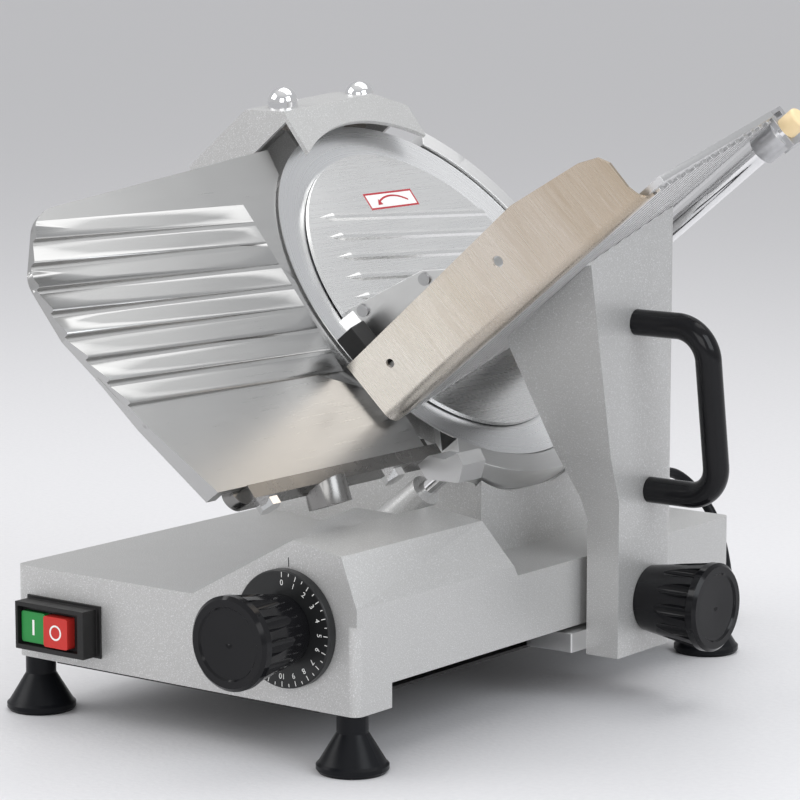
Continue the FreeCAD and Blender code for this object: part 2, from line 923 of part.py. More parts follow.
def blade_back():
    return blade_front() - S.blade_thick


def blade():
    face = blade_front()
    inner = S.blade_radius - S.bevel_wide
    knife_disc = Cast("blade", spin)
    knife_disc.turn([
        (S.shaft_radius + 2, blade_back()),
        (inner - 5, blade_back()),
        (S.blade_radius, S.blade_plane - 0.7),
        (S.blade_radius, S.blade_plane),
        (inner, face),
        (S.shaft_radius + 2, face),
    ])
    node("blade", cut("blade", knife_disc.body, *blade_screw_rods("blade")))
    node("blade_screws", group("blade_screws", *blade_screw_rods("blade_screws")))


def blade_cover():
    name = "blade_cover"
    back = blade_front() + S.cover_gap
    radius = S.blade_radius - S.bevel_wide - S.cover_gap
    disc = round_bar(name, spin, (0, 0, back), "c", radius, S.cover_plate)
    pieces = [disc]
    for number in range(6):
        pieces.append(cover_rib(name, number, back + S.cover_plate))
    face = fuse(name, *pieces)
    trim = round_bar(name, spin, (0, 0, back), "c", radius, S.cover_plate + 4)
    node(name, common(name, face, trim))
    name = "cover_tie_rod"
    start = S.dish_back - 20
    node(name, round_bar(name, spin, (0, 0, start), "c", S.tie_rod, back - start))
    name = "cover_knob"
    knob = fluted_knob(name, spin.moved(0, 0, S.dish_back - 3.5), "-c", 17, 14, 24, 4)
    bore = round_bar(name, spin, (0, 0, start), "c", S.tie_rod + S.running, 20)
    node(name, cut(name, knob, bore))


def cover_rib(name, number, level):
    """One of the long raised ribs that keep slices from sticking, pointed at its left end."""
    rise = 1.6
    half = 3.4
    slope = -0.07
    first = -72 - 3 * number if number < 4 else -84 + 9 * (number - 4)
    middle = 60.5 - S.rib_pitch * number
    sections = []
    for place, grow in ((first, 0.05), (first + 13, 1), (100, 1)):
        centre = middle + slope * (place + 72)
        outline = [
            (centre - half * grow, level - 0.5),
            (centre + half * grow, level - 0.5),
            (centre + 0.7 * half * grow, level + rise * 0.7 * grow),
            (centre + 0.1 * half * grow, level + rise * grow),
            (centre - 0.5 * half * grow, level + rise * 0.8 * grow),
        ]
        sections.append((as_size(place), outline))
    return loft(name, spin, sections)


def guard_ring():
    """The fixed ring round the blade, open where the blade cuts and where it is sharpened."""
    name = "guard_ring"
    inner = S.blade_radius + S.ring_gap
    outer = inner + S.ring_wide
    rim = round_bar(name, spin, (0, 0, S.dish_front), "c", outer, S.ring_front - S.dish_front)
    room = round_bar(name, spin, (0, 0, S.dish_front + 5), "c", inner, 30)
    bore = round_bar(name, spin, (0, 0, S.dish_front - 1), "c", S.dish_radius - 14, 30)
    far = 2 * outer
    sector = Cast(name, spin)
    angles = (56, 110, 175, 236)
    corners = [(far * cosine(angle), far * sine(angle)) for angle in angles]
    sector.pad("ab", [(0, 0)] + corners, S.dish_front - 1, 30)
    node(name, cut(name, rim, room, bore, sector.body))


def belt():
    """A flat belt round the two pulleys."""
    name = "drive_belt"
    start = S.dish_back + 2
    outside = belt_form(name, S.belt_thick + 0.1, start, S.belt_wide)
    inside = belt_form(name, 0.1, start - 1, S.belt_wide + 2)
    node(name, cut(name, outside, inside))


def belt_form(name, grow, start, wide):
    across, drop = S.motor_y - S.blade_y, S.motor_t - S.blade_t
    reach = root(across * across + drop * drop)
    big, small = S.blade_pulley + grow, S.motor_pulley + grow
    lean = (big - small) / reach
    side = root(1 - lean * lean)
    toward = (across / reach, drop / reach)
    corners = []
    for radius, centre, sign in ((big, (0, 0), 1), (small, (across, drop), 1),
                                 (small, (across, drop), -1), (big, (0, 0), -1)):
        first = centre[0] + radius * (lean * toward[0] - sign * side * toward[1])
        second = centre[1] + radius * (lean * toward[1] + sign * side * toward[0])
        corners.append((first, second))
    strip = Cast(name, spin)
    strip.pad("ab", corners, start, wide)
    return fuse(
        name,
        strip.body,
        round_bar(name, spin, (0, 0, start), "c", big, wide),
        round_bar(name, spin, (across, drop, start), "c", small, wide),
    )


# Motor: a can in the pedestal, held by a plate that hangs from the pedestal's roof
def motor():
    axis = knife.moved(S.motor_y, S.motor_t, 0)
    back, long, wall = S.motor_back, S.motor_long, S.wall
    front = back + long
    name = "motor_body"
    can = round_bar(name, axis, (0, 0, back), "c", S.motor_radius, long)
    room = round_bar(name, axis, (0, 0, back + wall), "c", S.motor_radius - wall, long - 2 * wall)
    bore = round_bar(name, axis, (0, 0, back - 1), "c", S.rotor_shaft + S.running, long + 2)
    inset = S.winding_inset
    windings = round_bar(name, axis, (0, 0, back + inset), "c", S.motor_radius - wall / 2,
                         long - 2 * inset)
    middle = round_bar(name, axis, (0, 0, back + inset - 1), "c", S.rotor_radius + 1,
                       long - 2 * inset + 2)
    node(name, fuse(name, cut(name, can, room, bore), cut(name, windings, middle)))
    name = "motor_bracket"
    plate = bar(name, axis, (-S.motor_radius - 6, -S.motor_radius, front),
                (S.motor_radius + 6, S.motor_radius + 10, front + wall))
    hole = round_bar(name, axis, (0, 0, front - 1), "c", S.rotor_shaft + 3, wall + 2)
    roof = bar(name, ground, (0, 0, S.pedestal_level - wall), (300, S.base_depth, 300))
    node(name, cut(name, plate, hole, roof))
    name = "motor_rotor"
    start = S.dish_back + 2
    shaft = round_bar(name, axis, (0, 0, back + 1), "c", S.rotor_shaft, start + S.belt_wide - back)
    core = round_bar(name, axis, (0, 0, back + inset - 2), "c", S.rotor_radius, long - 2 * inset + 4)
    wheel = round_bar(name, axis, (0, 0, start), "c", S.motor_pulley, S.belt_wide)
    node(name, fuse(name, shaft, core, wheel))


# Sharpener: a shell over the top of the blade with two sprung stones
def sharpener():
    name = "sharpener_housing"
    outer = loft(name, knife, [
        (S.sharpener_left, sharpener_outline(S.sharpener_left_top)),
        (S.dome_right_y, sharpener_outline(S.sharpener_mid_top)),
        (S.sharpener_right, sharpener_outline(S.sharpener_right_top)),
    ])
    shell = S.sharpener_shell
    span = (S.dome_right_y - S.sharpener_left, S.sharpener_right - S.dome_right_y)
    left_top = S.sharpener_left_top + (S.sharpener_mid_top - S.sharpener_left_top) * shell / span[0]
    right_top = S.sharpener_right_top + (S.sharpener_mid_top - S.sharpener_right_top) * shell / span[1]
    inner = loft(name, knife, [
        (S.sharpener_left + shell, sharpener_room(left_top)),
        (S.dome_right_y, sharpener_room(S.sharpener_mid_top)),
        (S.sharpener_right - shell, sharpener_room(right_top)),
    ])
    lip = round_bar(name, spin, (0, 0, S.ring_front - 10), "c", S.sharpener_lip, 40)
    holes = [
        round_bar(name, ground, (S.dome_x, y, S.dome_top - 40), "c", S.dome_radius + 0.1, 60)
        for y in (S.dome_left_y, S.dome_right_y)
    ]
    bolt = round_bar(name, spin, (0, clamp_t(), S.sharpener_back - 1), "c", S.tie_rod + S.running, 8)
    node(name, cut(name, outer, inner, lip, bolt, *holes))
    name = "sharpener_clamp"
    stem = round_bar(name, spin, (0, clamp_t(), S.sharpener_back - 12), "c", S.tie_rod, 44)
    knob = fluted_knob(name, spin.moved(0, clamp_t(), S.sharpener_back - 0.5), "-c", 14, 12, 18, 3)
    node(name, fuse(name, knob, stem))
    stones()


def clamp_t():
    """Height of the clamp screw above the blade's axis."""
    return S.sharpener_left_top + 3 - S.blade_t


def sharpener_outline(top):
    front, back, shell = S.sharpener_front, S.sharpener_back, S.sharpener_shell
    rise = 24 / cosine(S.tilt) * sine(S.tilt)
    low = S.blade_t + S.blade_radius
    return [
        (low, back),
        (low, front - shell),
        (low - 30, front - shell),
        (low - 30, front),
        (top, front),
        (top + rise, front - 24),
        (top + rise, back),
    ]


def sharpener_room(top):
    front, back, shell = S.sharpener_front, S.sharpener_back, S.sharpener_shell
    rise = 24 / cosine(S.tilt) * sine(S.tilt)
    low = S.blade_t + S.blade_radius
    return [
        (low - 2, back + shell),
        (low - 2, front - shell),
        (top - 1.6, front - shell),
        (top - shell + rise, front - 24 - 1.4),
        (top - shell + rise, back + shell),
    ]


def stones():
    """Each chrome knob pushes a stem, a carrier and its stone down to the blade's edge."""
    stem_low = S.dome_top - S.stem_long
    push_knob("grinding_knob", S.dome_left_y, stem_low)
    push_knob("deburring_knob", S.dome_right_y, stem_low)
    name = "grinding_stone"
    y = S.dome_left_y
    disc = round_bar(name, knife, (y, 229.8, S.blade_plane + 3.3), "c", 6, 6)
    stub = round_bar(name, knife, (y, 234, S.blade_plane - 2), "c", 2.5, 6)
    node(name, fuse(name, stone_carrier(name, y, stem_low), disc, stub))
    name = "deburring_stone"
    y = S.dome_right_y
    disc = round_bar(name, knife, (y, 238, S.blade_plane - 12), "c", 8, 6)
    node(name, fuse(name, stone_carrier(name, y, stem_low), disc))


def stone_carrier(name, y, top):
    return bar(name, ground, (S.dome_x - 4, y - 5, top - 5), (S.dome_x + 5, y + 5, top))


def push_knob(name, y, stem_low):
    radius = S.dome_radius
    middle = S.dome_top - radius
    skirt = round_bar(name, ground, (S.dome_x, y, middle - 7), "c", radius, 7)
    dome = ball(name, ground, (S.dome_x, y, middle), radius)
    stem = round_bar(name, ground, (S.dome_x, y, stem_low), "c", 3, middle - 7 - stem_low)
    under = round_bar(name, ground, (S.dome_x, y, middle - 2 * radius), "c", radius + 1, 2 * radius - 7)
    node(name, fuse(name, skirt, cut(name, dome, under), stem))


# Gauge plate: the ribbed fence that sets the slice thickness
def gauge_outline(start, length, name):
    cast = Cast(name, knife)
    outline = [
        (164, 219),
        (-62, 193.5),
        (-96, 150),
        (-95, 110),
        (-73, 49.5),
        (-48, 0),
        (143, 0),
        (143, 110),
    ]
    cast.pad("ab", outline, start, length)
    cast.fillet(38, lambda middle, way: abs(way.z) > 0.99 and abs(middle.x + 62) < 1)
    cast.fillet(20, lambda middle, way: abs(way.z) > 0.99 and middle.x < -95.5)
    cast.fillet(60, lambda middle, way: abs(way.z) > 0.99 and abs(middle.x + 73) < 1)
    return cast


def gauge_plate():
    name = "gauge_plate"
    back = S.gauge_face - S.gauge_thick
    plate = gauge_outline(back, S.gauge_thick, name)
    ribs = [gauge_rib(name, number) for number in range(8)]
    trim = gauge_outline(back, S.gauge_thick + 10, name)
    relief = common(name, fuse(name, *ribs), trim.body)
    round_room = round_bar(name, spin, (0, 0, back - 1), "c", S.blade_radius + S.gauge_clear, 20)
    node(name, cut(name, fuse(name, plate.body, relief, gauge_rim(name)), round_room))


def gauge_rib(name, number):
    """A shallow step, steep below and gentle above, that dies out towards the blade."""
    left_t = 174.8 - 15.95 * number
    right_t = 168.7 - 15.65 * number
    face = S.gauge_face
    sections = []
    for place, level, rise in ((-96, left_t, S.rib_rise), (112, right_t, as_size(0.15))):
        sections.append((as_size(place), [
            (level, face - 0.5),
            (level + S.rib_foot, face - 0.5),
            (level + S.rib_foot, face),
            (level + 1.2, face + rise),
            (level, face + 0.8 * rise),
        ]))
    return loft(name, knife, sections)


def gauge_rim(name):
    """The deeper edge that stiffens the lower left side of the plate."""
    back = S.gauge_face - S.gauge_thick
    strip = Cast(name, knife)
    outline = [(-86, 84), (-73, 49.5), (-48, 0.2), (-40, 0.2), (-66, 51), (-80, 84)]
    strip.pad("ab", outline, back - 8, 10)
    slant = Cast(name, knife)
    outline = [(90, back), (90, back - 10), (0, back - 10), (0, back - 7), (80, back)]
    slant.pad("bc", outline, -100, 100)
    return cut(name, strip.body, slant.body)


def gauge_bracket():
    name = "gauge_bracket"
    back = S.gauge_face - S.gauge_thick
    left, right = S.bracket_left, S.bracket_right
    rear = bar(name, knife, (left, -9, back - S.bracket_deep), (right, 7, back))
    lip = bar(name, knife, (left, -9, back), (right, -0.4, S.gauge_face + 2))
    nose = round_bar(name, knife, (left, -1, back - S.bracket_deep), "c", 8, S.bracket_deep)
    bolts = [round_bar(name, knife, (y, -12, back - 1.5), "b", 3, 12) for y in bolt_places()]
    frame = turned(ground.moved(S.boss_x, S.boss_y, S.boss_end), -S.boss_tilt)
    body = round_bar(name, frame, (0, 0, 0), "c", S.boss_radius, 34)
    clip = bar(name, knife, (0, -9, 200), (90, 60, 300))
    recess = round_bar(name, frame, (0, 0, -1), "c", S.boss_radius - 3.5, 7)
    screw = hexagon(name, frame, (0, 0, 2.5), "c", 10, 6)
    boss = fuse(name, cut(name, body, clip, recess), screw)
    node(name, cut(name, fuse(name, rear, lip, nose, boss), *bolts))
    name = "bracket_bolts"
    made = []
    for y in bolt_places():
        head = hexagon(name, knife, (y, -9, back - 1.5), "-b", 12, 5.5)
        shank = round_bar(name, knife, (y, -9.5, back - 1.5), "b", 3, 9)
        made.append(fuse(name, head, shank))
    node(name, group(name, *made))


def bolt_places():
    return (S.bracket_left + 17, S.bracket_right - 44)


def gauge_slide():
    """A six-sided block under the bracket's right end, on a rod that slides into the base."""
    name = "gauge_slide_block"
    face = S.gauge_face
    y, t = S.gauge_rod_y, S.gauge_rod_t
    under_bracket = -9
    outline = [
        (under_bracket, face - 4),
        (under_bracket, face + 6),
        (t + 2, face + 15),
        (t, face + 25),
        (t - 8, face + 24),
        (t - 14.5, face + 14.5),
        (t, face - 4),
    ]
    block = Cast(name, knife)
    block.pad("bc", outline, S.block_front, S.block_back - S.block_front)
    rod_low, rod_top = 118, face + 10
    bore = round_bar(name, knife, (y, t, face - 10), "c", S.gauge_rod_radius, 20)
    node(name, cut(name, block.body, bore))
    name = "gauge_rod"
    node(name, round_bar(name, knife, (y, t, rod_low), "c", S.gauge_rod_radius, rod_top - rod_low))
    name = "index_arm"
    clamp = bar(name, knife, (S.arm_front_face, t - 13, 119), (y + 12, t + 13, 135))
    reach = bar(name, ground, (100, S.arm_front_face, 60), (S.dial_x - 4.5, S.arm_front_face + 8, 78))
    pin_reach = 11
    pin_x = S.dial_x - pin_reach * cosine(S.tilt)
    pin_z = S.dial_z - pin_reach * sine(S.tilt)
    pin = round_bar(name, ground, (pin_x, S.arm_front_face - 7, pin_z), "b", 2.5, 8)
    bore = round_bar(name, knife, (y, t, 110), "c", S.gauge_rod_radius, 40)
    node(name, cut(name, fuse(name, clamp, reach, pin), bore))


# Thickness control: a knob, its dial and the cam that they turn
def thickness_control():
    name = "index_spindle"
    y_cam = 24
    root_y = -S.dial_thick - 0.5
    shaft = round_bar(name, ground, (S.dial_x, root_y - 24, S.dial_z), "b", S.rotor_shaft,
                      y_cam + 6 - root_y + 24)
    cam = round_bar(name, ground, (S.dial_x, y_cam, S.dial_z), "b", 27, 6)
    node(name, fuse(name, shaft, cam))
    name = "dial_plate"
    disc = round_bar(name, ground, (S.dial_x, root_y, S.dial_z), "b", S.dial_radius, S.dial_thick)
    hole = round_bar(name, ground, (S.dial_x, root_y - 1, S.dial_z), "b", S.rotor_shaft, 10)
    rounded = soften(name, disc, 1.2, lambda middle, way: middle.y < -S.middle_y.value - 6)
    node(name, cut(name, rounded, hole))
    name = "thickness_knob"
    seat = ground.moved(S.dial_x, root_y, S.dial_z)
    knob = fluted_knob(name, seat, "-b", S.knob_radius, S.knob_root, S.knob_long, 7)
    bore = round_bar(name, ground, (S.dial_x, root_y - 24, S.dial_z), "b", S.rotor_shaft, 25)
    node(name, cut(name, knob, bore))


def fluted_knob(name, seat, along, radius, root_radius, length, collar):
    """A knob that widens from its root to a smooth collar, with finger flutes between."""
    radius, root_radius = as_size(radius), as_size(root_radius)
    length, collar = as_size(length), as_size(collar)
    frames = {
        "-b": Frame(seat.origin, [seat.axes[0], seat.axes[2], [-part for part in seat.axes[1]]]),
        "a": Frame(seat.origin, [seat.axes[1], seat.axes[2], seat.axes[0]]),
        "-c": Frame(seat.origin, [seat.axes[1], seat.axes[0], [-part for part in seat.axes[2]]]),
    }
    frame = frames[along]
    body_long = length - collar
    knob = Cast(name, frame)
    knob.turn([
        (0, 0),
        (root_radius, 0),
        (radius - 0.5, body_long),
        (0, body_long),
    ])
    rim = Cast(name, frame)
    rim.turn([
        (0, body_long),
        (radius - 0.6, body_long),
        (radius, body_long + 0.6),
        (radius, length - 2),
        (radius - 2, length),
        (radius * 0.78, length),
        (radius * 0.74, length - 1.2),
        (0, length - 1.6),
    ])
    share = radius / S.knob_radius
    flutes = []
    for number in range(12):
        angle = 30 * number
        reach = radius - 0.6 * share
        centre = (reach * cosine(angle), reach * sine(angle), body_long * 0.83)
        flutes.append(leaf(name, frame, centre, S.flute_radius * share, body_long * 0.73))
    return fuse(name, cut(name, knob.body, *flutes), rim.body)


def leaf(name, frame, centre, radius, half_long):
    """A pointed oval whose long axis is the frame's third."""
    made = doc.addObject("Part::Ellipsoid", fresh(name))
    bind(made, "Radius1", half_long)
    bind(made, "Radius2", radius)
    bind(made, "Radius3", radius)
    set_place(made, frame, centre)
    return made


# Carriage: a rod in the base, a sliding block, and the arm that carries the tray
def carriage():
    wall, deep = S.wall, S.base_depth
    name = "carriage_rod"
    node(name, round_bar(name, ground, (S.rod_x, wall, S.rod_z), "b", S.rod_radius, deep - 2 * wall))
    name = "carriage_slide"
    sleeve = bar(name, ground, (S.rod_x - 14, S.arm_front + 2, 35.5), (S.rod_x + 14, S.arm_back, 60))
    bridge = bar(name, ground, (S.rod_x + 10, S.arm_front - 16, 34.5), (S.arm_inner, S.arm_back, 46.5))
    bore = round_bar(name, ground, (S.rod_x, 180, S.rod_z), "b", S.rod_radius + S.running, 150)
    node(name, cut(name, fuse(name, sleeve, bridge), bore))
    carriage_arm()
    name = "handle"
    inner = S.arm_right
    outer = inner + S.handle_reach
    route = [
        ground.point(inner, S.handle_top_y, S.handle_top_z),
        ground.point(outer, S.handle_top_y, S.handle_top_z),
        ground.point(outer, S.handle_low_y, S.handle_low_z),
        ground.point(inner, S.handle_low_y, S.handle_low_z),
    ]
    radii = [S.handle_bend.value, S.handle_bend.value]
    node(name, tube(name, rounded_path(route, radii), S.handle_radius.value))
    name = "lock_knob"
    seat = ground.moved(S.arm_right + 0.3, S.lock_y, S.lock_z)
    knob = fluted_knob(name, seat, "a", S.knob_radius, S.knob_root, S.lock_long, 7)
    stem = round_bar(name, ground, (S.arm_right - wall - 8, S.lock_y, S.lock_z), "a", 5, wall + 12)
    node(name, fuse(name, knob, stem))


def carriage_arm():
    name = "carriage_arm"
    cast = Cast(name, ground)
    inner, right, low = S.arm_inner, S.arm_right, S.arm_bottom
    top = S.arm_tip_z + 95
    front = [
        (inner, low),
        (right, low),
        (right, top),
        (S.arm_tip_x, top),
        (S.arm_tip_x, S.arm_tip_z - 4),
        (inner, S.arm_elbow_z),
    ]
    start = 180
    cast.pad("ac", front, start, S.arm_back - start)
    rear_right = (S.arm_right.value, S.arm_back.value)
    cast.fillet(9, lambda middle, way: (
        abs(way.z) > 0.99 and math.dist((middle.x, middle.y), rear_right) < 1))
    lean = [
        (start - 1, low - 1),
        (S.arm_front, low - 1),
        (S.arm_front, 128),
        (S.arm_front - 9.5, 156),
        (S.arm_front - 32.5, 275),
        (start - 1, 275),
    ]
    cast.pocket("bc", lean, S.arm_tip_x - 1, 100)
    wall = S.wall
    room = [
        (inner + wall, low + wall),
        (right - wall, low + wall),
        (right - wall, 252),
        (S.arm_tip_x + 14, 214),
        (inner + wall, S.arm_elbow_z + 10),
    ]
    cast.pocket("ac", room, S.arm_front + wall, 80)
    above = bar(name, tray, (-50, -50, 0), (320, 320, 200))
    hole = round_bar(name, ground, (right - wall - 1, S.lock_y, S.lock_z), "a", 5 + S.running, 9)
    node(name, cut(name, cast.body, above, hole, *tray_screw_rods(name)))


def tray_screw_places():
    return [(100, 110), (126, 110), (100, 150), (126, 150)]


def tray_screw_rods(name):
    return [
        round_bar(name, tray, (a, e, -12), "c", 2.5, 12 + S.tray_sheet + S.floor_thick)
        for a, e in tray_screw_places()
    ]


# Tray: a folded steel wall in front and a ribbed cast floor behind it
def food_tray():
    name = "tray_wall"
    sheet_thick, fold = S.tray_sheet, S.tray_fold
    cast = Cast(name, tray)
    section = [
        (0, 0),
        (14, 0),
        (14, sheet_thick),
        (sheet_thick, sheet_thick),
        (sheet_thick, 60),
        (0, 60),
    ]
    cast.pad("bc", section, 0, S.wall_long)
    cast.fillet(fold, lambda middle, way: abs(way.x) > 0.99 and middle.y < 0.1 and middle.z < 0.1)
    inner_corner = (S.tray_sheet.value, S.tray_sheet.value)
    cast.fillet(fold - sheet_thick, lambda middle, way: (
        abs(way.x) > 0.99 and math.dist((middle.y, middle.z), inner_corner) < 0.1))
    long = S.wall_long
    over = [
        (-1, S.wall_height),
        (0, S.wall_height),
        (long - 69, S.wall_peak),
        (long - 18, S.wall_height - 3),
        (long - 6, S.wall_height - 8),
        (long - 2, S.wall_height - 15),
        (long - 2.5, sheet_thick + 10),
        (long, sheet_thick),
        (long + 1, 61),
        (-1, 61),
    ]
    cast.pocket("ac", over, -1, 5)
    holes = [
        round_bar(name, tray, (128, -1, 30), "b", 3.5, 5),
        round_bar(name, tray, (26, -1, 28), "b", 2.75, 5),
    ]
    node(name, cut(name, cast.body, *holes))
    name = "tray_floor"
    floor = Cast(name, tray)
    near = S.tray_fold + 0.3
    outline = [(0.5, near), (S.tray_long, near), (S.tray_long - 7, S.tray_deep), (0.5, S.tray_deep)]
    floor.pad("ab", outline, sheet_thick, S.floor_thick)
    first = floor.pad("ab", rectangle(0.5, 16, S.tray_long - 9, 21), 0, sheet_thick + 0.5)
    floor.along_b(first, S.tray_deep - 25, 14)
    node(name, cut(name, floor.body, *tray_screw_rods(name)))
    name = "tray_screws"
    top = sheet_thick + S.floor_thick
    made = []
    for (a, e), rod in zip(tray_screw_places(), tray_screw_rods(name)):
        made.append(fuse(name, rod, round_bar(name, tray, (a, e, top), "c", 5, 2.2)))
    node(name, group(name, *made))


# Pusher: slides along its own rod at the back of the tray and swings up about it
def pusher():
    e, w, radius = S.pusher_rod_e, S.pusher_rod_w, S.pusher_rod_radius
    end = 2 + S.pusher_rod_long
    name = "pusher_rod"
    node(name, round_bar(name, tray, (2, e, w), "a", radius, S.pusher_rod_long))
    name = "rod_bracket"
    block = bar(name, tray, (2, S.tray_deep, w - 10), (8, e + 10, w + 12))
    node(name, cut(name, block, round_bar(name, tray, (1, e, w), "a", radius, 10)))
    name = "rod_end_plate"
    plate = bar(name, tray, (end - 5, S.tray_deep, w - 11), (end, e + 12, w + 14))
    slot = bar(name, tray, (end - 6, e - 2, w + 8.5), (end + 1, e + 8, w + 11.5))
    clip = bar(name, tray, (end - 13, e + 3, w - 11), (end - 5, e + 11, w - 8))
    bore = round_bar(name, tray, (end - 24, e, w), "a", radius, 28)
    collar = round_bar(name, tray, (end - 22, e, w), "a", radius + 3, 18)
    node(name, cut(name, fuse(name, plate, clip, collar), slot, bore))
    name = "rod_end_cap"
    cap = round_bar(name, tray, (end, e, w), "a", radius, 12)
    edge = tray.point(end + 12, e, w)
    node(name, soften(name, cap, 2, lambda middle, way: near_plane(middle, edge)))
    pusher_slide()


def near_plane(middle, edge):
    """Whether a point lies level with another along the way out of the blade."""
    out = Vector(*(as_size(part).value for part in out_of_blade))
    return abs((middle - edge).dot(out)) < 0.1


def pusher_slide():
    e, w, radius = S.pusher_rod_e, S.pusher_rod_w, S.pusher_rod_radius
    start, stop = S.slide_start, S.slide_start + S.slide_long
    name = "pusher_bush"
    sleeve = round_bar(name, tray, (start, e, w), "a", radius + S.bush_thick, S.slide_long)
    bore = round_bar(name, tray, (start - 1, e, w), "a", radius + S.running, S.slide_long + 2)
    node(name, cut(name, sleeve, bore))
    name = "pusher_slide"
    upper = bar(name, tray, (start, S.tray_deep + 0.6, w), (stop, e + 10, w + 20))
    lower = bar(name, tray, (start, e - 9.4, w - 9.4), (stop, e + 10, w + 7))
    bore_radius = radius + S.bush_thick + S.running
    bore = round_bar(name, tray, (start - 1, e, w), "a", bore_radius, S.slide_long + 2)
    node(name, cut(name, fuse(name, upper, lower), bore))
    name = "pusher_arm"
    top = w + 20
    level = 50
    upright_part = bar(name, tray, (start + 14, e - 5, top), (stop - 16, e + 1, level))
    reach = bar(name, tray, (start + 14, S.press_e + 4, level - 6), (stop - 16, e + 1, level))
    node(name, fuse(name, upright_part, reach))
    name = "press_plate"
    face = Cast(name, tray)
    left, right, low = 3, 3 + S.press_long, S.tray_sheet + S.floor_thick + 0.5
    face.pad("ac", [
        (left, low),
        (right, low),
        (right, 45),
        (right - 8, 51),
        (right - 20, 59),
        (left + 9, low + S.press_height - 1.5),
        (left, low + S.press_height),
    ], S.press_e, 4)
    node(name, fuse(name, face.body, bevelled_end(name, left, low)))
    name = "press_plate_screws"
    node(name, group(name, *(
        round_bar(name, tray, (a, S.press_e - 1.6, level_w), "b", 3.8, 1.6)
        for a, level_w in ((18, 65), (66, 54)))))
    name = "pusher_pad"
    pad = bar(name, tray, (4, S.tray_sheet + 1, 30), (18, S.press_e - 6.3, 60))
    link = bar(name, tray, (4, S.press_e - 8, 34), (9, S.press_e - 2, 52))
    node(name, fuse(name, pad, cut(name, link, bevelled_end(name, left, low))))


def bevelled_end(name, left, low):
    """The slanted strip at the end of the press plate that runs beside the blade."""
    strip = Cast(name, tray)
    outline = [(left, S.press_e), (left + 9, S.press_e), (left, S.press_e - 6)]
    strip.pad("ab", outline, low, S.press_height - 3)
    return strip.body


def arc_corner(before, corner, after, radius):
    """Where an arc leaves and joins two straight runs, and its middle."""
    back = (before - corner).normalize()
    onward = (after - corner).normalize()
    half = math.acos(max(-1, min(1, back.dot(onward)))) / 2
    reach = radius / math.tan(half)
    centre = corner + (back + onward).normalize() * (radius / math.sin(half))
    middle = centre + (corner - centre).normalize() * radius
    return corner + back * reach, middle, corner + onward * reach


def rounded_path(points, radii):
    edges = []
    last = points[0]
    for before, corner, after, radius in zip(points, points[1:], points[2:], radii):
        leave, middle, join = arc_corner(before, corner, after, radius)
        edges.append(Part.LineSegment(last, leave).toShape())
        edges.append(Part.Arc(leave, middle, join).toShape())
        last = join
    edges.append(Part.LineSegment(last, points[-1]).toShape())
    return Part.Wire(edges)


def tube(name, path, radius):
    """A round bar or cord along a path."""
    start = path.Edges[0].valueAt(path.Edges[0].FirstParameter)
    way = path.Edges[0].tangentAt(path.Edges[0].FirstParameter)
    ring = Part.Wire(Part.makeCircle(radius, start, way))
    made = doc.addObject("Part::Feature", fresh(name))
    made.Shape = path.makePipeShell([ring], True, False)
    expected = math.pi * radius ** 2 * path.Length
    print(name, "length", round(path.Length, 1), "volume share", round(made.Shape.Volume / expected, 4))
    return made


# Mains lead: out of the back of the pedestal, down to the table, and coiled behind the base
def cord_points():
    deep = S.base_depth.value
    x, z = S.gland_x.value, S.gland_z.value
    gland_end = deep + 26
    floor = S.cord_radius.value + 0.1
    places = [
        (x, gland_end, z),
        (x, gland_end + 14, z),
        (x + 4, gland_end + 27, z - 6),
        (x + 13, gland_end + 34, z - 18),
        (x + 24, gland_end + 36, z - 33),
        (x + 29, gland_end + 41, z - 58),
        (x + 26, gland_end + 52, z - 84),
        (x + 12, gland_end + 68, floor),
        (x - 12, gland_end + 86, floor),
        (x - 38, gland_end + 102, floor),
        (x - 56, coil_start()[1], floor),
        (coil_start()[0] + 2 * S.cord_radius.value, coil_start()[1], floor),
    ]
    return [ground.point(*place) for place in places]


def coil_start():
    return (S.coil_x.value, S.coil_y.value + S.coil_radius.value)


def cord():
    name = "cord_gland"
    seat = S.base_depth
    nut = hexagon(name, ground, (S.gland_x, seat, S.gland_z), "b", 22, 6)
    tail = round_bar(name, ground, (S.gland_x, seat - 6, S.gland_z), "b", 6, 6)
    taper = cone(name, ground, (S.gland_x, seat + 6, S.gland_z), "b", 8, S.cord_radius + 0.8, 20)
    node(name, fuse(name, nut, tail, taper))
    points = cord_points()
    radii = []
    for before, corner, after in zip(points, points[1:], points[2:]):
        first, second = corner - before, after - corner
        turn = first.getAngle(second)
        radii.append(0.45 * min(first.Length, second.Length) / math.tan(turn / 2))
    print("cord bend radii", [round(radius, 1) for radius in radii])
    node("cord", tube("cord", rounded_path(points, radii), S.cord_radius.value))
    node("cord_coil", tube("cord_coil", coil_path(), S.cord_radius.value))
    plug()


def coil_centre_line(turn):
    """A point of the coil: in along the table, up one layer, and out again on top."""
    turns = 2.5
    outer, pitch = S.coil_radius.value, S.coil_pitch.value
    low = S.cord_radius.value + 0.1
    if turn <= turns:
        radius, height = outer - pitch * turn, low
    elif turn <= turns + 0.5:
        share = (turn - turns) * 2
        radius = outer - pitch * turns
        height = low + pitch * share * share * (3 - 2 * share)
    else:
        radius, height = outer - pitch * (2 * turns + 0.5 - turn), low + pitch
    angle = math.radians(90 + 360 * turn)
    x = S.coil_x.value + radius * math.cos(angle)
    y = S.coil_y.value + radius * math.sin(angle)
    return ground.point(x, y, height)


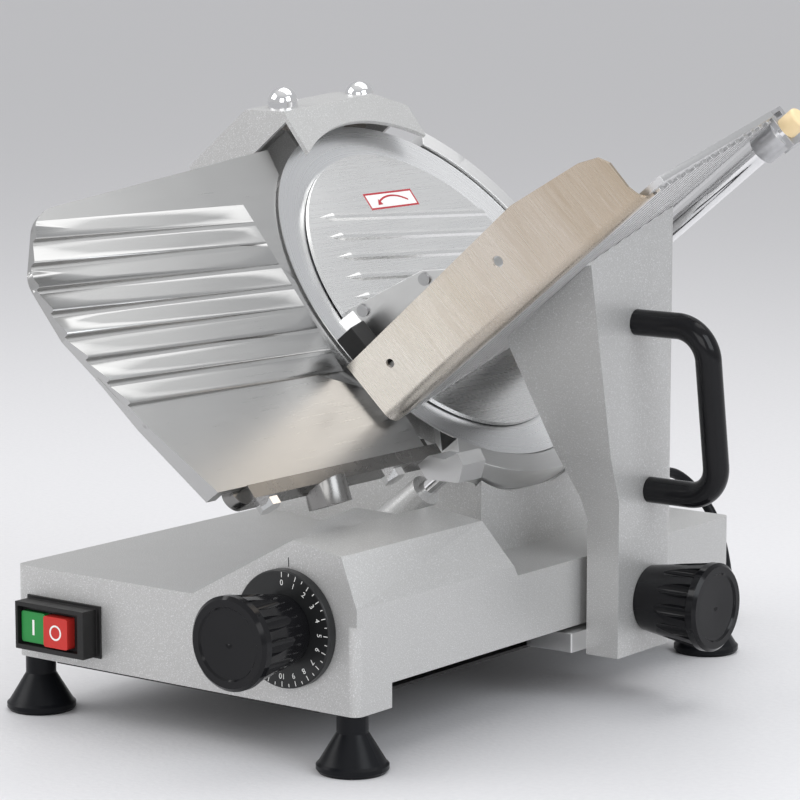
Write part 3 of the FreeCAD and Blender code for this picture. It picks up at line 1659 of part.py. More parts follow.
def coil_path():
    """Two arcs through each quarter of a turn, with a straight end one diameter long."""
    total = 5.5
    count = int(total * 4)
    places = [coil_centre_line(total * step / count) for step in range(count + 1)]
    ways = []
    for step in range(count + 1):
        share = total * step / count
        ahead = coil_centre_line(min(total, share + 1e-4))
        behind = coil_centre_line(max(0, share - 1e-4))
        ways.append((ahead - behind).normalize())
    ways[0] = Vector(-1, 0, 0)
    ways[-1] = Vector(1, 0, 0)
    straight = 2 * S.cord_radius.value
    edges = [Part.LineSegment(places[0] - ways[0] * straight, places[0]).toShape()]
    for start, stop, leave, arrive in zip(places, places[1:], ways, ways[1:]):
        edges += two_arcs(start, leave, stop, arrive)
    edges.append(Part.LineSegment(places[-1], places[-1] + ways[-1] * straight).toShape())
    report_gap(total)
    return Part.Wire(edges)


def two_arcs(start, leave, stop, arrive):
    """Two arcs that join smoothly and leave and arrive in the given directions."""
    across = stop - start
    both = leave + arrive
    quad = 2 * (1 - leave.dot(arrive))
    reach = (-across.dot(both) + math.sqrt(across.dot(both) ** 2 + quad * across.dot(across))) / quad
    first_corner = start + leave * reach
    second_corner = stop - arrive * reach
    joint = (first_corner + second_corner) / 2
    edges = []
    for begin, corner, end in ((start, first_corner, joint), (joint, second_corner, stop)):
        half_chord = (end - begin).Length / 2
        height = (corner - (begin + end) / 2).Length
        sagitta = half_chord * (math.hypot(half_chord, height) - half_chord) / height
        rise = (corner - (begin + end) / 2).normalize() * sagitta
        edges.append(Part.Arc(begin, (begin + end) / 2 + rise, end).toShape())
    return edges


def report_gap(total):
    steps = 220
    places = [coil_centre_line(total * step / steps) for step in range(steps + 1)]
    apart = int(steps / total * 0.6)
    least = min(
        (places[first] - places[second]).Length
        for first in range(steps + 1)
        for second in range(first + apart, steps + 1)
    )
    print("coil least gap", round(least - 2 * S.cord_radius.value, 2))


def plug():
    name = "plug"
    y = S.coil_y - S.coil_radius
    z = S.cord_radius + 0.1 + S.coil_pitch
    start = S.coil_x + 2 * S.cord_radius
    sleeve = cone(name, ground, (start, y, z), "a", S.cord_radius + 1, 6.5, 30)
    grip = cone(name, ground, (start + 30, y, z), "a", 9.5, z, 14)
    body = round_bar(name, ground, (start + 44, y, z), "a", z, 12)
    pins = [round_bar(name, ground, (start + 56, y + side, z), "a", 2.2, 19) for side in (-6, 6)]
    node(name, fuse(name, sleeve, grip, body, *pins))


base_casting()
bottom_cover()
feet()
switch()
blade_housing()
spindle()
blade()
blade_cover()
guard_ring()
belt()
motor()
sharpener()
gauge_plate()
gauge_bracket()
gauge_slide()
thickness_control()
carriage()
food_tray()
pusher()
cord()

doc.recompute()
for thing in doc.Objects:
    if "Invalid" in thing.State or "Error" in thing.State:
        raise RuntimeError(f"{thing.Label} failed: {thing.State}")
os.makedirs("parts", exist_ok=True)
for name, thing in nodes.items():
    if thing.Shape.isNull() or not thing.Shape.isValid():
        raise RuntimeError(f"{name} has no valid shape")
for name, thing in nodes.items():
    thing.Shape.exportStep(f"parts/{name}.step")
print(len(nodes), "nodes")
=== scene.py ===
import json
import math

import bmesh
import bpy
from mathutils import Matrix, Vector


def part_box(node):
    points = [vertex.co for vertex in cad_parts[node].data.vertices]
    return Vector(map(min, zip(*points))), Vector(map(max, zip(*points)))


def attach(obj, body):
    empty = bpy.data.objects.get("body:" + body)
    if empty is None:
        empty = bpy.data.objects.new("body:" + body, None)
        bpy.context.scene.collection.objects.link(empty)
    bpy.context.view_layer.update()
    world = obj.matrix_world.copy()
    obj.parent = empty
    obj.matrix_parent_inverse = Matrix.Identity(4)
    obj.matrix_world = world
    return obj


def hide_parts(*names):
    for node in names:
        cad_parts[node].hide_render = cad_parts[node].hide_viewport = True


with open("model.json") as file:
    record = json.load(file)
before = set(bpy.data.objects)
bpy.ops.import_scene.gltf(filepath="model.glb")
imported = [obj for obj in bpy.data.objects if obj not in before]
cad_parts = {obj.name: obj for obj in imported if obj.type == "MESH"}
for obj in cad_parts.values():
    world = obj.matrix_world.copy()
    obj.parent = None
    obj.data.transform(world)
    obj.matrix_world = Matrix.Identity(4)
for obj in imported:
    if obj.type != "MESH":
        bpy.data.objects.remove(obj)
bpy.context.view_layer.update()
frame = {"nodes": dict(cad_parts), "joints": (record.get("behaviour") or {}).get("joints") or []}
nodes = frame["nodes"]
joints = {joint["name"]: joint for joint in frame["joints"]}

MM = 0.001
MICRON = 0.000001
BASE_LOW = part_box("base_casting")[0]


def at(x, y, z):
    """A place in metres from millimetres measured at the base's left front corner."""
    return Vector((BASE_LOW[0] + x * MM, BASE_LOW[1] + y * MM, z * MM))


# Directions: out of the blade's face, up the blade, and up from the tray's floor
OUT = Vector(joints["blade_spin"]["axis"]).normalized()
BACK = Vector((0, 1, 0))
UP_BLADE = OUT.cross(BACK)
BLADE_CENTRE = Vector(joints["blade_spin"]["pos_m"])
TRAY_TURN = math.radians(13)
TRAY_UP = math.cos(TRAY_TURN) * UP_BLADE - math.sin(TRAY_TURN) * BACK


def on_knife(y, t, s):
    """A place given across the blade, up it, and out of its face, in millimetres."""
    return at(0, y, 0) + (t * UP_BLADE + s * OUT) * MM


TRAY_CORNER = on_knife(120, 16.5, 265)
TRAY_LENGTH = 240

# Camera

CAMERA_AZIMUTH, CAMERA_ELEVATION = 37.238, 8.845
CAMERA_PLACE = at(1379.7, -1430.6, 497.7)
CAMERA_SENSOR, CAMERA_LENS = 36, 149.5
CAMERA_NEAR, CAMERA_FAR = 0.05, 60


def make_camera():
    """Stands to the right of the front and a little above it, as in the photograph."""
    azimuth, elevation = math.radians(CAMERA_AZIMUTH), math.radians(CAMERA_ELEVATION)
    away = Vector((
        math.sin(azimuth) * math.cos(elevation),
        -math.cos(azimuth) * math.cos(elevation),
        math.sin(elevation),
    ))
    right = Vector((math.cos(azimuth), math.sin(azimuth), 0))
    data = bpy.data.cameras.new("camera")
    data.sensor_width = CAMERA_SENSOR
    data.lens = CAMERA_LENS
    data.clip_start = CAMERA_NEAR
    data.clip_end = CAMERA_FAR
    camera = bpy.data.objects.new("camera", data)
    turn = Matrix((right, away.cross(right), away)).transposed().to_4x4()
    camera.matrix_world = Matrix.Translation(CAMERA_PLACE) @ turn
    bpy.context.scene.collection.objects.link(camera)
    bpy.context.scene.camera = camera


make_camera()

# Mains lead: one spline from the gland down to the table and round its coil

CORD_WIDE = 7.0
FLOOR_GAP = 0.1
FLOOR_LINE = CORD_WIDE / 2 + FLOOR_GAP
GLAND_X, GLAND_Y, GLAND_Z = 188.0, 422.0, 106.0
COIL_X, COIL_Y = 110.0, 480.0
COIL_RADIUS, COIL_PITCH = 52.0, 8.6
COIL_LAYER_TURNS, COIL_CLIMB_TURNS = 2.5, 0.5
COIL_TURNS = 2 * COIL_LAYER_TURNS + COIL_CLIMB_TURNS
COIL_START_ANGLE = 90
POINTS_PER_TURN = 16
# The tube's half width is its bevel times this radius, which stays small to keep the box round it tight
POINT_RADIUS = 0.001


def coil_point(turn):
    """In along the table, up one layer where the spiral turns round, and out again on top."""
    if turn <= COIL_LAYER_TURNS:
        radius, height = COIL_RADIUS - COIL_PITCH * turn, FLOOR_LINE
    elif turn <= COIL_LAYER_TURNS + COIL_CLIMB_TURNS:
        share = (turn - COIL_LAYER_TURNS) / COIL_CLIMB_TURNS
        radius = COIL_RADIUS - COIL_PITCH * COIL_LAYER_TURNS
        height = FLOOR_LINE + COIL_PITCH * share * share * (3 - 2 * share)
    else:
        radius = COIL_RADIUS - COIL_PITCH * (COIL_TURNS - turn)
        height = FLOOR_LINE + COIL_PITCH
    angle = math.radians(COIL_START_ANGLE + 360 * turn)
    return COIL_X + radius * math.cos(angle), COIL_Y + radius * math.sin(angle), height


def cord_route():
    """The same points as the cord's own solids follow."""
    x, end, z = GLAND_X, GLAND_Y, GLAND_Z
    coil_y = COIL_Y + COIL_RADIUS
    route = [
        (x, end, z),
        (x, end + 14, z),
        (x + 4, end + 27, z - 6),
        (x + 13, end + 34, z - 18),
        (x + 24, end + 36, z - 33),
        (x + 29, end + 41, z - 58),
        (x + 26, end + 52, z - 84),
        (x + 12, end + 68, FLOOR_LINE),
        (x - 12, end + 86, FLOOR_LINE),
        (x - 38, end + 102, FLOOR_LINE),
        (x - 56, coil_y, FLOOR_LINE),
    ]
    count = int(COIL_TURNS * POINTS_PER_TURN)
    route += [coil_point(COIL_TURNS * step / count) for step in range(count + 1)]
    last = route[-1]
    route.append((last[0] + 2 * CORD_WIDE, last[1], last[2]))
    return [at(*point) for point in route]


def make_cord():
    """A round rubber tube that rides on the base in place of the cord's plain solids."""
    route = cord_route()
    curve = bpy.data.curves.new("mains_cord", "CURVE")
    curve.dimensions = "3D"
    curve.bevel_depth = CORD_WIDE / 2 * MM / POINT_RADIUS
    curve.bevel_resolution = 5
    curve.resolution_u = 6
    curve.use_fill_caps = True
    spline = curve.splines.new("NURBS")
    spline.points.add(len(route) - 1)
    for point, place in zip(spline.points, route):
        point.co = (*place, 1)
        point.radius = POINT_RADIUS
    spline.order_u = 3
    spline.use_endpoint_u = True
    cord = bpy.data.objects.new("mains_cord", curve)
    bpy.context.scene.collection.objects.link(cord)
    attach(cord, "base")
    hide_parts("cord", "cord_coil")
    return cord


mains_cord = make_cord()

# Materials

# Sockets of a colour mixing node
MIX_SHARE, MIX_FIRST, MIX_SECOND, MIX_RESULT = 0, 6, 7, 2


class Look:
    """A node material built up step by step round one shader."""

    def __init__(self, name, colour, roughness, metallic=0.0):
        self.material = bpy.data.materials.new(name)
        self.material.use_nodes = True
        self.tree = self.material.node_tree
        self.shader = self.tree.nodes["Principled BSDF"]
        self.put("Base Color", (*colour, 1))
        self.put("Roughness", roughness)
        self.put("Metallic", metallic)
        self.place = self.add("ShaderNodeTexCoord").outputs["Object"]

    def add(self, kind, **inputs):
        """A node whose inputs are given by name, with _ for a space."""
        made = self.tree.nodes.new(kind)
        for word, value in inputs.items():
            self.feed(made.inputs[word.replace("_", " ")], value)
        return made

    def feed(self, socket, value):
        """Links another node's output to a socket, or sets a plain value on it."""
        if isinstance(value, bpy.types.NodeSocket):
            self.tree.links.new(value, socket)
        else:
            socket.default_value = value

    def put(self, word, value):
        """Feeds one of the shader's own inputs."""
        self.feed(self.shader.inputs[word], value)

    def maths(self, operation, first, second=0.0):
        made = self.tree.nodes.new("ShaderNodeMath")
        made.operation = operation
        self.feed(made.inputs[0], first)
        self.feed(made.inputs[1], second)
        return made.outputs["Value"]

    def vectors(self, operation, first, second=(0, 0, 0)):
        made = self.tree.nodes.new("ShaderNodeVectorMath")
        made.operation = operation
        self.feed(made.inputs[0], first)
        self.feed(made.inputs[1], second)
        return made.outputs["Value" if operation in ("DOT_PRODUCT", "LENGTH") else "Vector"]

    def noise(self, scale, detail=2.0, place=None, roughness=0.5):
        """Grain or cloud, finer as the scale grows."""
        made = self.add("ShaderNodeTexNoise", Scale=scale, Detail=detail, Roughness=roughness,
                        Vector=self.place if place is None else place)
        return made.outputs["Fac"]

    def spread(self, value, low, high, start=0.0, stop=1.0):
        """Maps a value between start and stop onto low to high."""
        made = self.add("ShaderNodeMapRange", Value=value, From_Min=start, From_Max=stop,
                        To_Min=low, To_Max=high)
        return made.outputs["Result"]

    def blend(self, share, first, second):
        """Mixes two colours, each a plain one or another node's output."""
        made = self.tree.nodes.new("ShaderNodeMix")
        made.data_type = "RGBA"
        self.feed(made.inputs[MIX_SHARE], share)
        for index, colour in ((MIX_FIRST, first), (MIX_SECOND, second)):
            linked = isinstance(colour, bpy.types.NodeSocket)
            self.feed(made.inputs[index], colour if linked else (*colour, 1))
        return made.outputs[MIX_RESULT]

    def scaled(self, vector, factor):
        """A fixed vector times another node's output."""
        made = self.tree.nodes.new("ShaderNodeVectorMath")
        made.operation = "SCALE"
        made.inputs[0].default_value = tuple(vector)
        self.feed(made.inputs["Scale"], factor)
        return made.outputs["Vector"]

    def stretched(self, along, shrink):
        """Coordinates drawn out along one direction, for brushed and rolled grain."""
        length = self.vectors("DOT_PRODUCT", self.place, tuple(along))
        part = self.scaled(along, self.maths("MULTIPLY", length, shrink - 1))
        return self.vectors("ADD", self.place, part)

    def bump(self, *layers):
        """Stacks height layers, each (height, depth in metres)."""
        normal = None
        for height, depth in layers:
            made = self.add("ShaderNodeBump", Height=height, Distance=depth, Strength=1.0)
            if normal:
                self.tree.links.new(normal, made.inputs["Normal"])
            normal = made.outputs["Normal"]
        self.put("Normal", normal)


def painted_casting():
    """Silver-grey paint with a fine metallic sparkle over a cast skin."""
    look = Look("silver_paint", (0.5, 0.5, 0.5), 0.45, 0.35)
    flakes = look.spread(look.noise(1500, 1), 0, 1, 0.55, 0.72)
    cloud = look.noise(9, 3)
    shade = look.blend(cloud, (0.47, 0.468, 0.46), (0.535, 0.533, 0.525))
    look.put("Base Color", look.blend(look.maths("MULTIPLY", flakes, 0.6), shade, (0.9, 0.9, 0.91)))
    look.put("Metallic", look.spread(flakes, 0.35, 0.75))
    look.put("Roughness", look.spread(look.noise(60, 3), 0.36, 0.5))
    look.put("Coat Weight", 0.3)
    look.put("Coat Roughness", 0.28)
    look.bump((look.noise(420, 2), 120 * MICRON), (look.noise(2600, 1), 30 * MICRON))
    return look.material


def shaded(colour, share):
    """The same colour, darker or paler by a share of itself."""
    return tuple(part * share for part in colour)


def satin_metal(name, colour, roughness, along, shrink=0.015, depth=20 * MICRON):
    """Metal with fine grain drawn out along one direction."""
    look = Look(name, colour, roughness, 1.0)
    lines = look.noise(1400, 3, look.stretched(along, shrink), 0.7)
    cloud = look.noise(7, 3)
    look.put("Base Color", look.blend(look.spread(cloud, 0, 1, 0.3, 0.7), shaded(colour, 0.9), colour))
    worn = look.spread(lines, roughness - 0.06, roughness + 0.12)
    look.put("Roughness", look.maths("ADD", worn, look.spread(cloud, -0.02, 0.04)))
    look.bump((lines, depth))
    return look.material


def folded_sheet(name, pale, reflected_brown):
    """Stainless sheet brushed across its height, with a painted reflection: pale by the blade and warm
    brown towards its far end.
    """
    look = Look(name, pale, 0.27, 1.0)
    lines = look.noise(1700, 3, look.stretched(TRAY_UP, 0.02), 0.7)
    # Painted reflection: the base colour runs from pale by the blade to warm brown at the tray's far end,
    # broken up by cloud and brushed streaks
    start = TRAY_CORNER.dot(OUT)
    along = look.vectors("DOT_PRODUCT", look.place, tuple(OUT))
    share = look.spread(along, -0.15, 0.95, start, start + TRAY_LENGTH * MM)
    cloud = look.spread(look.noise(16, 4, look.stretched(TRAY_UP, 0.35)), -0.22, 0.22, 0.3, 0.7)
    streaks = look.spread(lines, -0.12, 0.12, 0.3, 0.7)
    share = look.maths("ADD", look.maths("ADD", share, cloud), streaks)
    look.put("Base Color", look.blend(share, pale, reflected_brown))
    look.put("Roughness", look.spread(lines, 0.2, 0.36))
    look.bump((lines, 30 * MICRON))
    return look.material


def ground_blade(name, colour, roughness):
    """Steel ground in rings round the blade's axis."""
    look = Look(name, colour, roughness, 1.0)
    arm = look.vectors("SUBTRACT", look.place, tuple(BLADE_CENTRE))
    height = look.vectors("DOT_PRODUCT", arm, tuple(OUT))
    flat = look.vectors("SUBTRACT", arm, look.scaled(OUT, height))
    radius = look.vectors("LENGTH", flat)
    rings = look.add("ShaderNodeTexNoise", Scale=1500.0, Detail=3.0)
    rings.noise_dimensions = "1D"
    look.feed(rings.inputs["W"], radius)
    lines = rings.outputs["Fac"]
    look.put("Roughness", look.spread(lines, roughness - 0.05, roughness + 0.1))
    look.put("Anisotropic", 0.6)
    look.put("Tangent", look.vectors("NORMALIZE", look.vectors("CROSS_PRODUCT", flat, tuple(OUT))))
    look.put("Base Color", look.blend(lines, shaded(colour, 0.88), colour))
    look.bump((lines, 12 * MICRON))
    return look.material


def plated(name, colour=(0.86, 0.86, 0.865), roughness=0.07):
    """Chrome plate with a slight unevenness and a few duller patches."""
    look = Look(name, colour, roughness, 1.0)
    look.put("Roughness", look.spread(look.noise(70, 4), roughness - 0.02, roughness + 0.08, 0.35, 0.75))
    look.bump((look.noise(160, 2), 40 * MICRON))
    return look.material


def plain_steel(name, colour=(0.52, 0.52, 0.53), roughness=0.34):
    """Unpolished steel with an even grain."""
    look = Look(name, colour, roughness, 1.0)
    grain = look.noise(380, 4)
    look.put("Base Color", look.blend(grain, shaded(colour, 0.78), colour))
    look.put("Roughness", look.spread(grain, roughness - 0.08, roughness + 0.14))
    look.bump((look.noise(900, 3), 20 * MICRON))
    return look.material


def moulded(name, colour, roughness, skin=30 * MICRON, grain=500, gloss=0.5):
    """Moulded plastic or rubber with a faint skin and slightly uneven sheen."""
    look = Look(name, colour, roughness)
    look.put("Specular IOR Level", gloss)
    cloud = look.noise(30, 3)
    pale = tuple(min(1, part * 1.25 + 0.002) for part in colour)
    look.put("Base Color", look.blend(cloud, colour, pale))
    look.put("Roughness", look.spread(look.noise(110, 3), max(0.04, roughness - 0.04), roughness + 0.08))
    look.bump((look.noise(grain, 2), skin))
    return look.material


def grit(name, colour):
    """Coarse bonded grains of a grinding stone."""
    look = Look(name, colour, 0.9)
    grain = look.noise(1800, 3)
    look.put("Base Color", look.blend(grain, shaded(colour, 0.5), shaded(colour, 1.7)))
    look.bump((grain, 300 * MICRON))
    return look.material


PAINT = painted_casting()
GAUGE_METAL = satin_metal("gauge_aluminium", (0.5, 0.5, 0.495), 0.27, BACK)
COVER_METAL = satin_metal("cover_aluminium", (0.93, 0.93, 0.92), 0.24, BACK, depth=10 * MICRON)
TRAY_STEEL = folded_sheet("tray_stainless_painted_reflection", (0.78, 0.73, 0.67), (0.46, 0.37, 0.27))
FLOOR_METAL = satin_metal("tray_aluminium", (0.72, 0.72, 0.72), 0.33, OUT)
CAST_METAL = satin_metal("machined_aluminium", (0.7, 0.7, 0.7), 0.36, BACK, shrink=0.2)
RING_METAL = ground_blade("ring_aluminium", (0.92, 0.92, 0.915), 0.36)
BLADE_STEEL = ground_blade("blade_steel_ground", (0.92, 0.925, 0.93), 0.27)
CHROME = plated("chrome")
DULL_CHROME = plated("dull_chrome", (0.23, 0.226, 0.22), 0.24)
STEEL = plain_steel("screw_steel")
SHEET_STEEL = plain_steel("sheet_steel", (0.6, 0.6, 0.61), 0.4)
BLACK_GLOSS = moulded("black_phenolic", (0.006, 0.006, 0.007), 0.1, skin=20 * MICRON, grain=240, gloss=0.2)
BLACK_SATIN = moulded("black_moulding", (0.013, 0.0125, 0.0125), 0.4, gloss=0.3)
DIAL_BLACK = moulded("dial_moulding", (0.012, 0.0125, 0.013), 0.3, gloss=0.35)
RUBBER = moulded("black_rubber_skin", (0.006, 0.0065, 0.008), 0.3, grain=900, gloss=0.14)
GREEN = moulded("green_button", (0.02, 0.23, 0.05), 0.3, gloss=0.3)
RED = moulded("red_button", (0.5, 0.028, 0.022), 0.3, gloss=0.3)
CREAM = moulded("cream_cap", (0.8, 0.62, 0.36), 0.4)
WHITE_MARK = moulded("white_marking", (0.8, 0.8, 0.78), 0.5)
RED_MARK = moulded("red_marking", (0.42, 0.02, 0.03), 0.5)
STONE = grit("grinding_grit", (0.28, 0.26, 0.24))

DRESS = {
    "base_casting": PAINT,
    "bottom_cover": BLACK_SATIN,
    "cover_screws": STEEL,
    "feet": RUBBER,
    "foot_screws": STEEL,
    "switch_housing": BLACK_SATIN,
    "on_button": GREEN,
    "off_button": RED,
    "blade_housing": PAINT,
    "housing_rear_cover": SHEET_STEEL,
    "spindle_bearings": STEEL,
    "blade_spindle": STEEL,
    "blade_pulley": CAST_METAL,
    "blade": BLADE_STEEL,
    "blade_screws": STEEL,
    "blade_cover": COVER_METAL,
    "cover_tie_rod": STEEL,
    "cover_knob": BLACK_GLOSS,
    "guard_ring": RING_METAL,
    "drive_belt": RUBBER,
    "motor_body": SHEET_STEEL,
    "motor_bracket": SHEET_STEEL,
    "motor_rotor": STEEL,
    "sharpener_housing": PAINT,
    "sharpener_clamp": BLACK_GLOSS,
    "grinding_knob": CHROME,
    "grinding_stone": STONE,
    "deburring_knob": CHROME,
    "deburring_stone": STONE,
    "gauge_plate": GAUGE_METAL,
    "gauge_bracket": DULL_CHROME,
    "bracket_bolts": CHROME,
    "gauge_slide_block": CAST_METAL,
    "gauge_rod": CHROME,
    "index_arm": CAST_METAL,
    "index_spindle": STEEL,
    "dial_plate": DIAL_BLACK,
    "thickness_knob": BLACK_GLOSS,
    "carriage_rod": CHROME,
    "carriage_slide": CAST_METAL,
    "carriage_arm": PAINT,
    "handle": BLACK_GLOSS,
    "lock_knob": BLACK_GLOSS,
    "tray_wall": TRAY_STEEL,
    "tray_floor": FLOOR_METAL,
    "tray_screws": STEEL,
    "pusher_rod": CHROME,
    "rod_bracket": SHEET_STEEL,
    "rod_end_plate": SHEET_STEEL,
    "rod_end_cap": CREAM,
    "pusher_bush": CREAM,
    "pusher_slide": CAST_METAL,
    "pusher_arm": CAST_METAL,
    "press_plate": FLOOR_METAL,
    "press_plate_screws": STEEL,
    "pusher_pad": BLACK_SATIN,
    "cord_gland": BLACK_SATIN,
    "plug": BLACK_SATIN,
}


def dress(thing, material):
    """Gives every slot of a piece the same material, and a first slot where it has none."""
    if not thing.material_slots:
        thing.data.materials.append(material)
    for slot in thing.material_slots:
        slot.material = material


for node_name, node_material in DRESS.items():
    dress(nodes[node_name], node_material)
dress(mains_cord, RUBBER)

# Softened edges

EDGE_SEGMENTS = 3
SHARP_ANGLE = 28
SEAM_GAP = 10 * MICRON
# Width in millimetres of the round on each casting and moulding
EDGES = {
    "base_casting": 1.6,
    "carriage_arm": 1.6,
    "sharpener_housing": 0.9,
    "blade_housing": 0.8,
    "switch_housing": 0.5,
    "gauge_bracket": 0.8,
    "tray_floor": 0.3,
    "pusher_arm": 0.8,
    "pusher_slide": 1.2,
    "press_plate": 0.4,
    "pusher_pad": 1.2,
    "carriage_slide": 0.8,
    "guard_ring": 0.4,
    "rod_end_plate": 0.4,
    "gauge_plate": 0.5,
}


def soften(thing, width):
    """Welds a CAD mesh's seams and rounds its sharp edges."""
    weld = thing.modifiers.new("weld", "WELD")
    weld.merge_threshold = SEAM_GAP
    bevel = thing.modifiers.new("round_edges", "BEVEL")
    bevel.width = width * MM
    bevel.segments = EDGE_SEGMENTS
    bevel.limit_method = "ANGLE"
    bevel.angle_limit = math.radians(SHARP_ANGLE)
    bevel.harden_normals = True
    bevel.miter_outer = "MITER_ARC"


for node_name, edge_width in EDGES.items():
    soften(nodes[node_name], edge_width)

# Markings: thin raised shapes that ride on the piece they mark

MARK_THICK = 0.08
BAND_STEPS = 16
ACROSS, UPRIGHT = Vector((1, 0, 0)), Vector((0, 0, 1))
DIAL_STEP = 18
DIAL_TOP_NUMBER = 15
NUMBER_RADIUS, NUMBER_SIZE = 27.0, 4.6
TICK_OUTER, LONG_TICK, SHORT_TICK, TICK_WIDE = 33.2, 3.0, 1.8, 0.45
INDEX_LOW, INDEX_HIGH, INDEX_WIDE = 35.2, 40.5, 0.6
SYMBOL_HIGH, BAR_WIDE, RING_WIDE = 9.4, 1.6, 1.1
PLATE_WIDE, PLATE_TALL, PLATE_BORDER = 49.6, 12.4, 1.3
PLATE_CORNER = on_knife(223.7, 165, 262.6)
ARROW_CENTRE = (26, -20)
ARROW_INNER, ARROW_OUTER = 28.5, 29.8
ARROW_START, ARROW_STOP = 58, 117
ARROW_HEAD = [(9.2, 3.1), (14.4, 3.4), (12, 7.6)]


def show(name, mesh, body, material):
    """Puts a mesh in the scene as a piece that rides on a body."""
    thing = bpy.data.objects.new(name, mesh)
    bpy.context.scene.collection.objects.link(thing)
    dress(thing, material)
    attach(thing, body)


def raised(name, body, material, place, right, up, outlines):
    """Thin solids whose outlines run, in millimetres, to the right of a place and above it."""
    out = right.cross(up)
    made = bmesh.new()
    for outline in outlines:
        face, back = [
            [made.verts.new(place + (x * right + y * up + level * out) * MM) for x, y in outline]
            for level in (MARK_THICK, 0)
        ]
        made.faces.new(face)
        made.faces.new(back[::-1])
        for first in range(len(outline)):
            after = (first + 1) % len(outline)
            made.faces.new((face[after], face[first], back[first], back[after]))
    mesh = bpy.data.meshes.new(name)
    made.to_mesh(mesh)
    made.free()
    show(name, mesh, body, material)


def box_outline(left, low, right, high):
    """An upright rectangle, anticlockwise."""
    return [(left, low), (right, low), (right, high), (left, high)]


def band(x, y, inner, outer, start, stop):
    """Part of a ring, between two angles in degrees."""
    angles = [
        math.radians(start + (stop - start) * step / BAND_STEPS)
        for step in range(BAND_STEPS + 1)
    ]
    edge = [(x + outer * math.cos(angle), y + outer * math.sin(angle)) for angle in angles]
    edge += [(x + inner * math.cos(angle), y + inner * math.sin(angle)) for angle in reversed(angles)]
    return edge


def front_of(node):
    """The middle of a node's front face."""
    low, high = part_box(node)
    return Vector(((low[0] + high[0]) / 2, low[1], (low[2] + high[2]) / 2))


def numeral(number, place, right, up):
    """A number's mesh, centred on a place and standing along up."""
    curve = bpy.data.curves.new("numeral", "FONT")
    curve.body = str(number)
    curve.size = NUMBER_SIZE * MM
    curve.align_x = "CENTER"
    curve.align_y = "CENTER"
    curve.extrude = MARK_THICK * MM
    mesh = bpy.data.meshes.new_from_object(bpy.data.objects.new("numeral", curve))
    turn = Matrix((right, up, right.cross(up))).transposed().to_4x4()
    mesh.transform(Matrix.Translation(place) @ turn)
    return mesh


def mark_dial():
    """Numbers that stand outwards clockwise from the top, a tick at each and one between."""
    middle = front_of("dial_plate")
    numbers = bmesh.new()
    ticks = []
    for half_step in range(2 * DIAL_TOP_NUMBER + 1):
        angle = math.radians(DIAL_STEP * half_step / 2)
        outward = math.sin(angle) * ACROSS + math.cos(angle) * UPRIGHT
        sideways = math.cos(angle) * ACROSS - math.sin(angle) * UPRIGHT
        length = SHORT_TICK if half_step % 2 else LONG_TICK
        ticks.append([
            (across * math.cos(angle) + reach * math.sin(angle),
             reach * math.cos(angle) - across * math.sin(angle))
            for across, reach in box_outline(-TICK_WIDE / 2, TICK_OUTER - length, TICK_WIDE / 2, TICK_OUTER)
        ])
        if half_step % 2 == 0:
            place = middle + NUMBER_RADIUS * MM * outward
            numbers.from_mesh(numeral(half_step // 2, place, sideways, outward))
    mesh = bpy.data.meshes.new("dial_numbers")
    numbers.to_mesh(mesh)
    numbers.free()
    show("dial_numbers", mesh, "dial", WHITE_MARK)
    raised("dial_ticks", "dial", WHITE_MARK, middle, ACROSS, UPRIGHT, ticks)
    # The index is a thin black strip on the casting above the dial: painted shade standing in for an index
    # notch
    above = Vector((middle[0], BASE_LOW[1], middle[2]))
    index = box_outline(-INDEX_WIDE / 2, INDEX_LOW, INDEX_WIDE / 2, INDEX_HIGH)
    raised("dial_index", "base", BLACK_SATIN, above, ACROSS, UPRIGHT, [index])


def mark_switch():
    """A bar on the green button and a ring on the red one."""
    reach = SYMBOL_HIGH / 2
    bar = [box_outline(-BAR_WIDE / 2, -reach, BAR_WIDE / 2, reach)]
    ring = [band(0, 0, reach - RING_WIDE, reach, start, start + 180) for start in (0, 180)]
    raised("on_symbol", "start_button", WHITE_MARK, front_of("on_button"), ACROSS, UPRIGHT, bar)
    raised("off_symbol", "stop_button", WHITE_MARK, front_of("off_button"), ACROSS, UPRIGHT, ring)


def mark_cover():
    """A small white plate with a red border and a curved arrow for the way that the blade turns."""
    wide, tall, border = PLATE_WIDE, PLATE_TALL, PLATE_BORDER
    whole = box_outline(0, 0, wide, tall)
    lines = [
        box_outline(0, 0, wide, border),
        box_outline(0, tall - border, wide, tall),
        box_outline(0, border, border, tall - border),
        box_outline(wide - border, border, wide, tall - border),
        band(*ARROW_CENTRE, ARROW_INNER, ARROW_OUTER, ARROW_START, ARROW_STOP),
        ARROW_HEAD,
    ]
    face = PLATE_CORNER + MARK_THICK * MM * OUT
    raised("arrow_plate", "base", WHITE_MARK, PLATE_CORNER, BACK, UP_BLADE, [whole])
    raised("arrow_lines", "base", RED_MARK, face, BACK, UP_BLADE, lines)


mark_dial()
mark_switch()
mark_cover()

# Surroundings

FLOOR_REACH = 20
SKY_STRENGTH = 0.8
# Share of the way from straight down to straight up, and the colour there
SKY_COLOURS = [
    (0.0, (0.5, 0.5, 0.51)),
    (0.49, (0.7, 0.7, 0.71)),
    (0.53, (0.68, 0.68, 0.69)),
    (0.62, (0.68, 0.685, 0.7)),
    (0.77, (0.66, 0.67, 0.69)),
    (1.0, (1.0, 1.0, 1.0)),
]
LIGHT_AIM = Vector((0, 0, 0.15))
WHITE_LIGHT, DAYLIGHT = (1, 1, 1), (0.92, 0.96, 1.0)
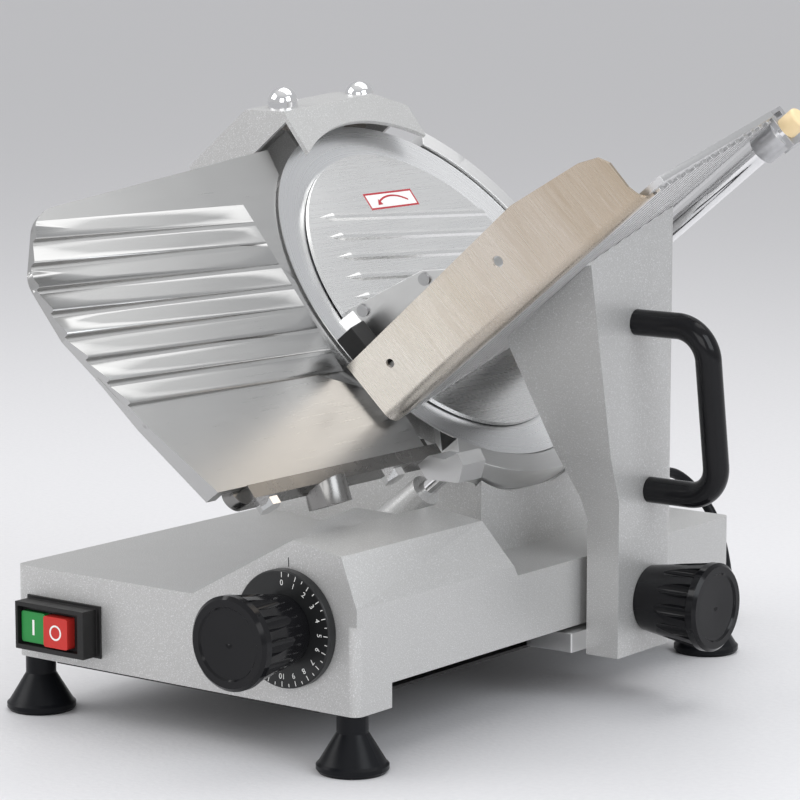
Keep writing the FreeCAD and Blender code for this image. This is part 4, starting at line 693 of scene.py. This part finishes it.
# Each light's place and size in metres, its power in watts and its colour
LIGHTS = {
    "window_left": ((-1.6, -1.3, 1.5), (1.6, 1.2), 19, WHITE_LIGHT),
    "front_fill": ((1.2, -2.2, 1.0), (1.4, 1.2), 12, WHITE_LIGHT),
    "window_right": ((1.9, -0.2, 1.2), (1.2, 1.2), 16, DAYLIGHT),
    "ceiling": ((0.0, 0.6, 1.9), (2.0, 1.4), 13, WHITE_LIGHT),
}


def floor_material():
    """A pale worktop with a faint speckle."""
    look = Look("pale_worktop", (0.78, 0.77, 0.79), 0.55)
    look.put("Base Color", look.blend(look.noise(260, 4), (0.74, 0.735, 0.755), (0.82, 0.815, 0.825)))
    look.bump((look.noise(300, 3), 200 * MICRON))
    return look.material


def make_floor():
    """A worktop that runs on past the picture's edges."""
    mesh = bpy.data.meshes.new("worktop")
    reach = FLOOR_REACH
    corners = [(-reach, -reach, 0), (reach, -reach, 0), (reach, reach, 0), (-reach, reach, 0)]
    mesh.from_pydata(corners, [], [(0, 1, 2, 3)])
    worktop = bpy.data.objects.new("worktop", mesh)
    bpy.context.scene.collection.objects.link(worktop)
    dress(worktop, floor_material())


def make_light(name, place, size, power, colour):
    """A rectangular lamp that faces the slicer."""
    data = bpy.data.lights.new(name, "AREA")
    data.shape = "RECTANGLE"
    data.size, data.size_y = size
    data.energy = power
    data.color = colour
    light = bpy.data.objects.new(name, data)
    light.location = place
    light.rotation_euler = (LIGHT_AIM - Vector(place)).to_track_quat("-Z", "Y").to_euler()
    bpy.context.scene.collection.objects.link(light)


def make_sky():
    """A soft room: bright above, and as pale as the worktop where the two meet."""
    world = bpy.data.worlds.new("soft_room")
    world.use_nodes = True
    bpy.context.scene.world = world
    tree = world.node_tree
    ramp = tree.nodes.new("ShaderNodeValToRGB")
    stops = ramp.color_ramp.elements
    while len(stops) < len(SKY_COLOURS):
        stops.new(0.5)
    for element, (place, colour) in zip(stops, SKY_COLOURS):
        element.position = place
        element.color = (*colour, 1)
    where = tree.nodes.new("ShaderNodeTexCoord")
    split = tree.nodes.new("ShaderNodeSeparateXYZ")
    height = tree.nodes.new("ShaderNodeMapRange")
    height.inputs["From Min"].default_value = -1
    tree.links.new(where.outputs["Generated"], split.inputs["Vector"])
    tree.links.new(split.outputs["Z"], height.inputs["Value"])
    tree.links.new(height.outputs["Result"], ramp.inputs["Fac"])
    tree.links.new(ramp.outputs["Color"], tree.nodes["Background"].inputs["Color"])
    tree.nodes["Background"].inputs["Strength"].default_value = SKY_STRENGTH


make_floor()
make_sky()
for light_name, light_values in LIGHTS.items():
    make_light(light_name, *light_values)

bpy.context.scene.view_settings.view_transform = "Standard"
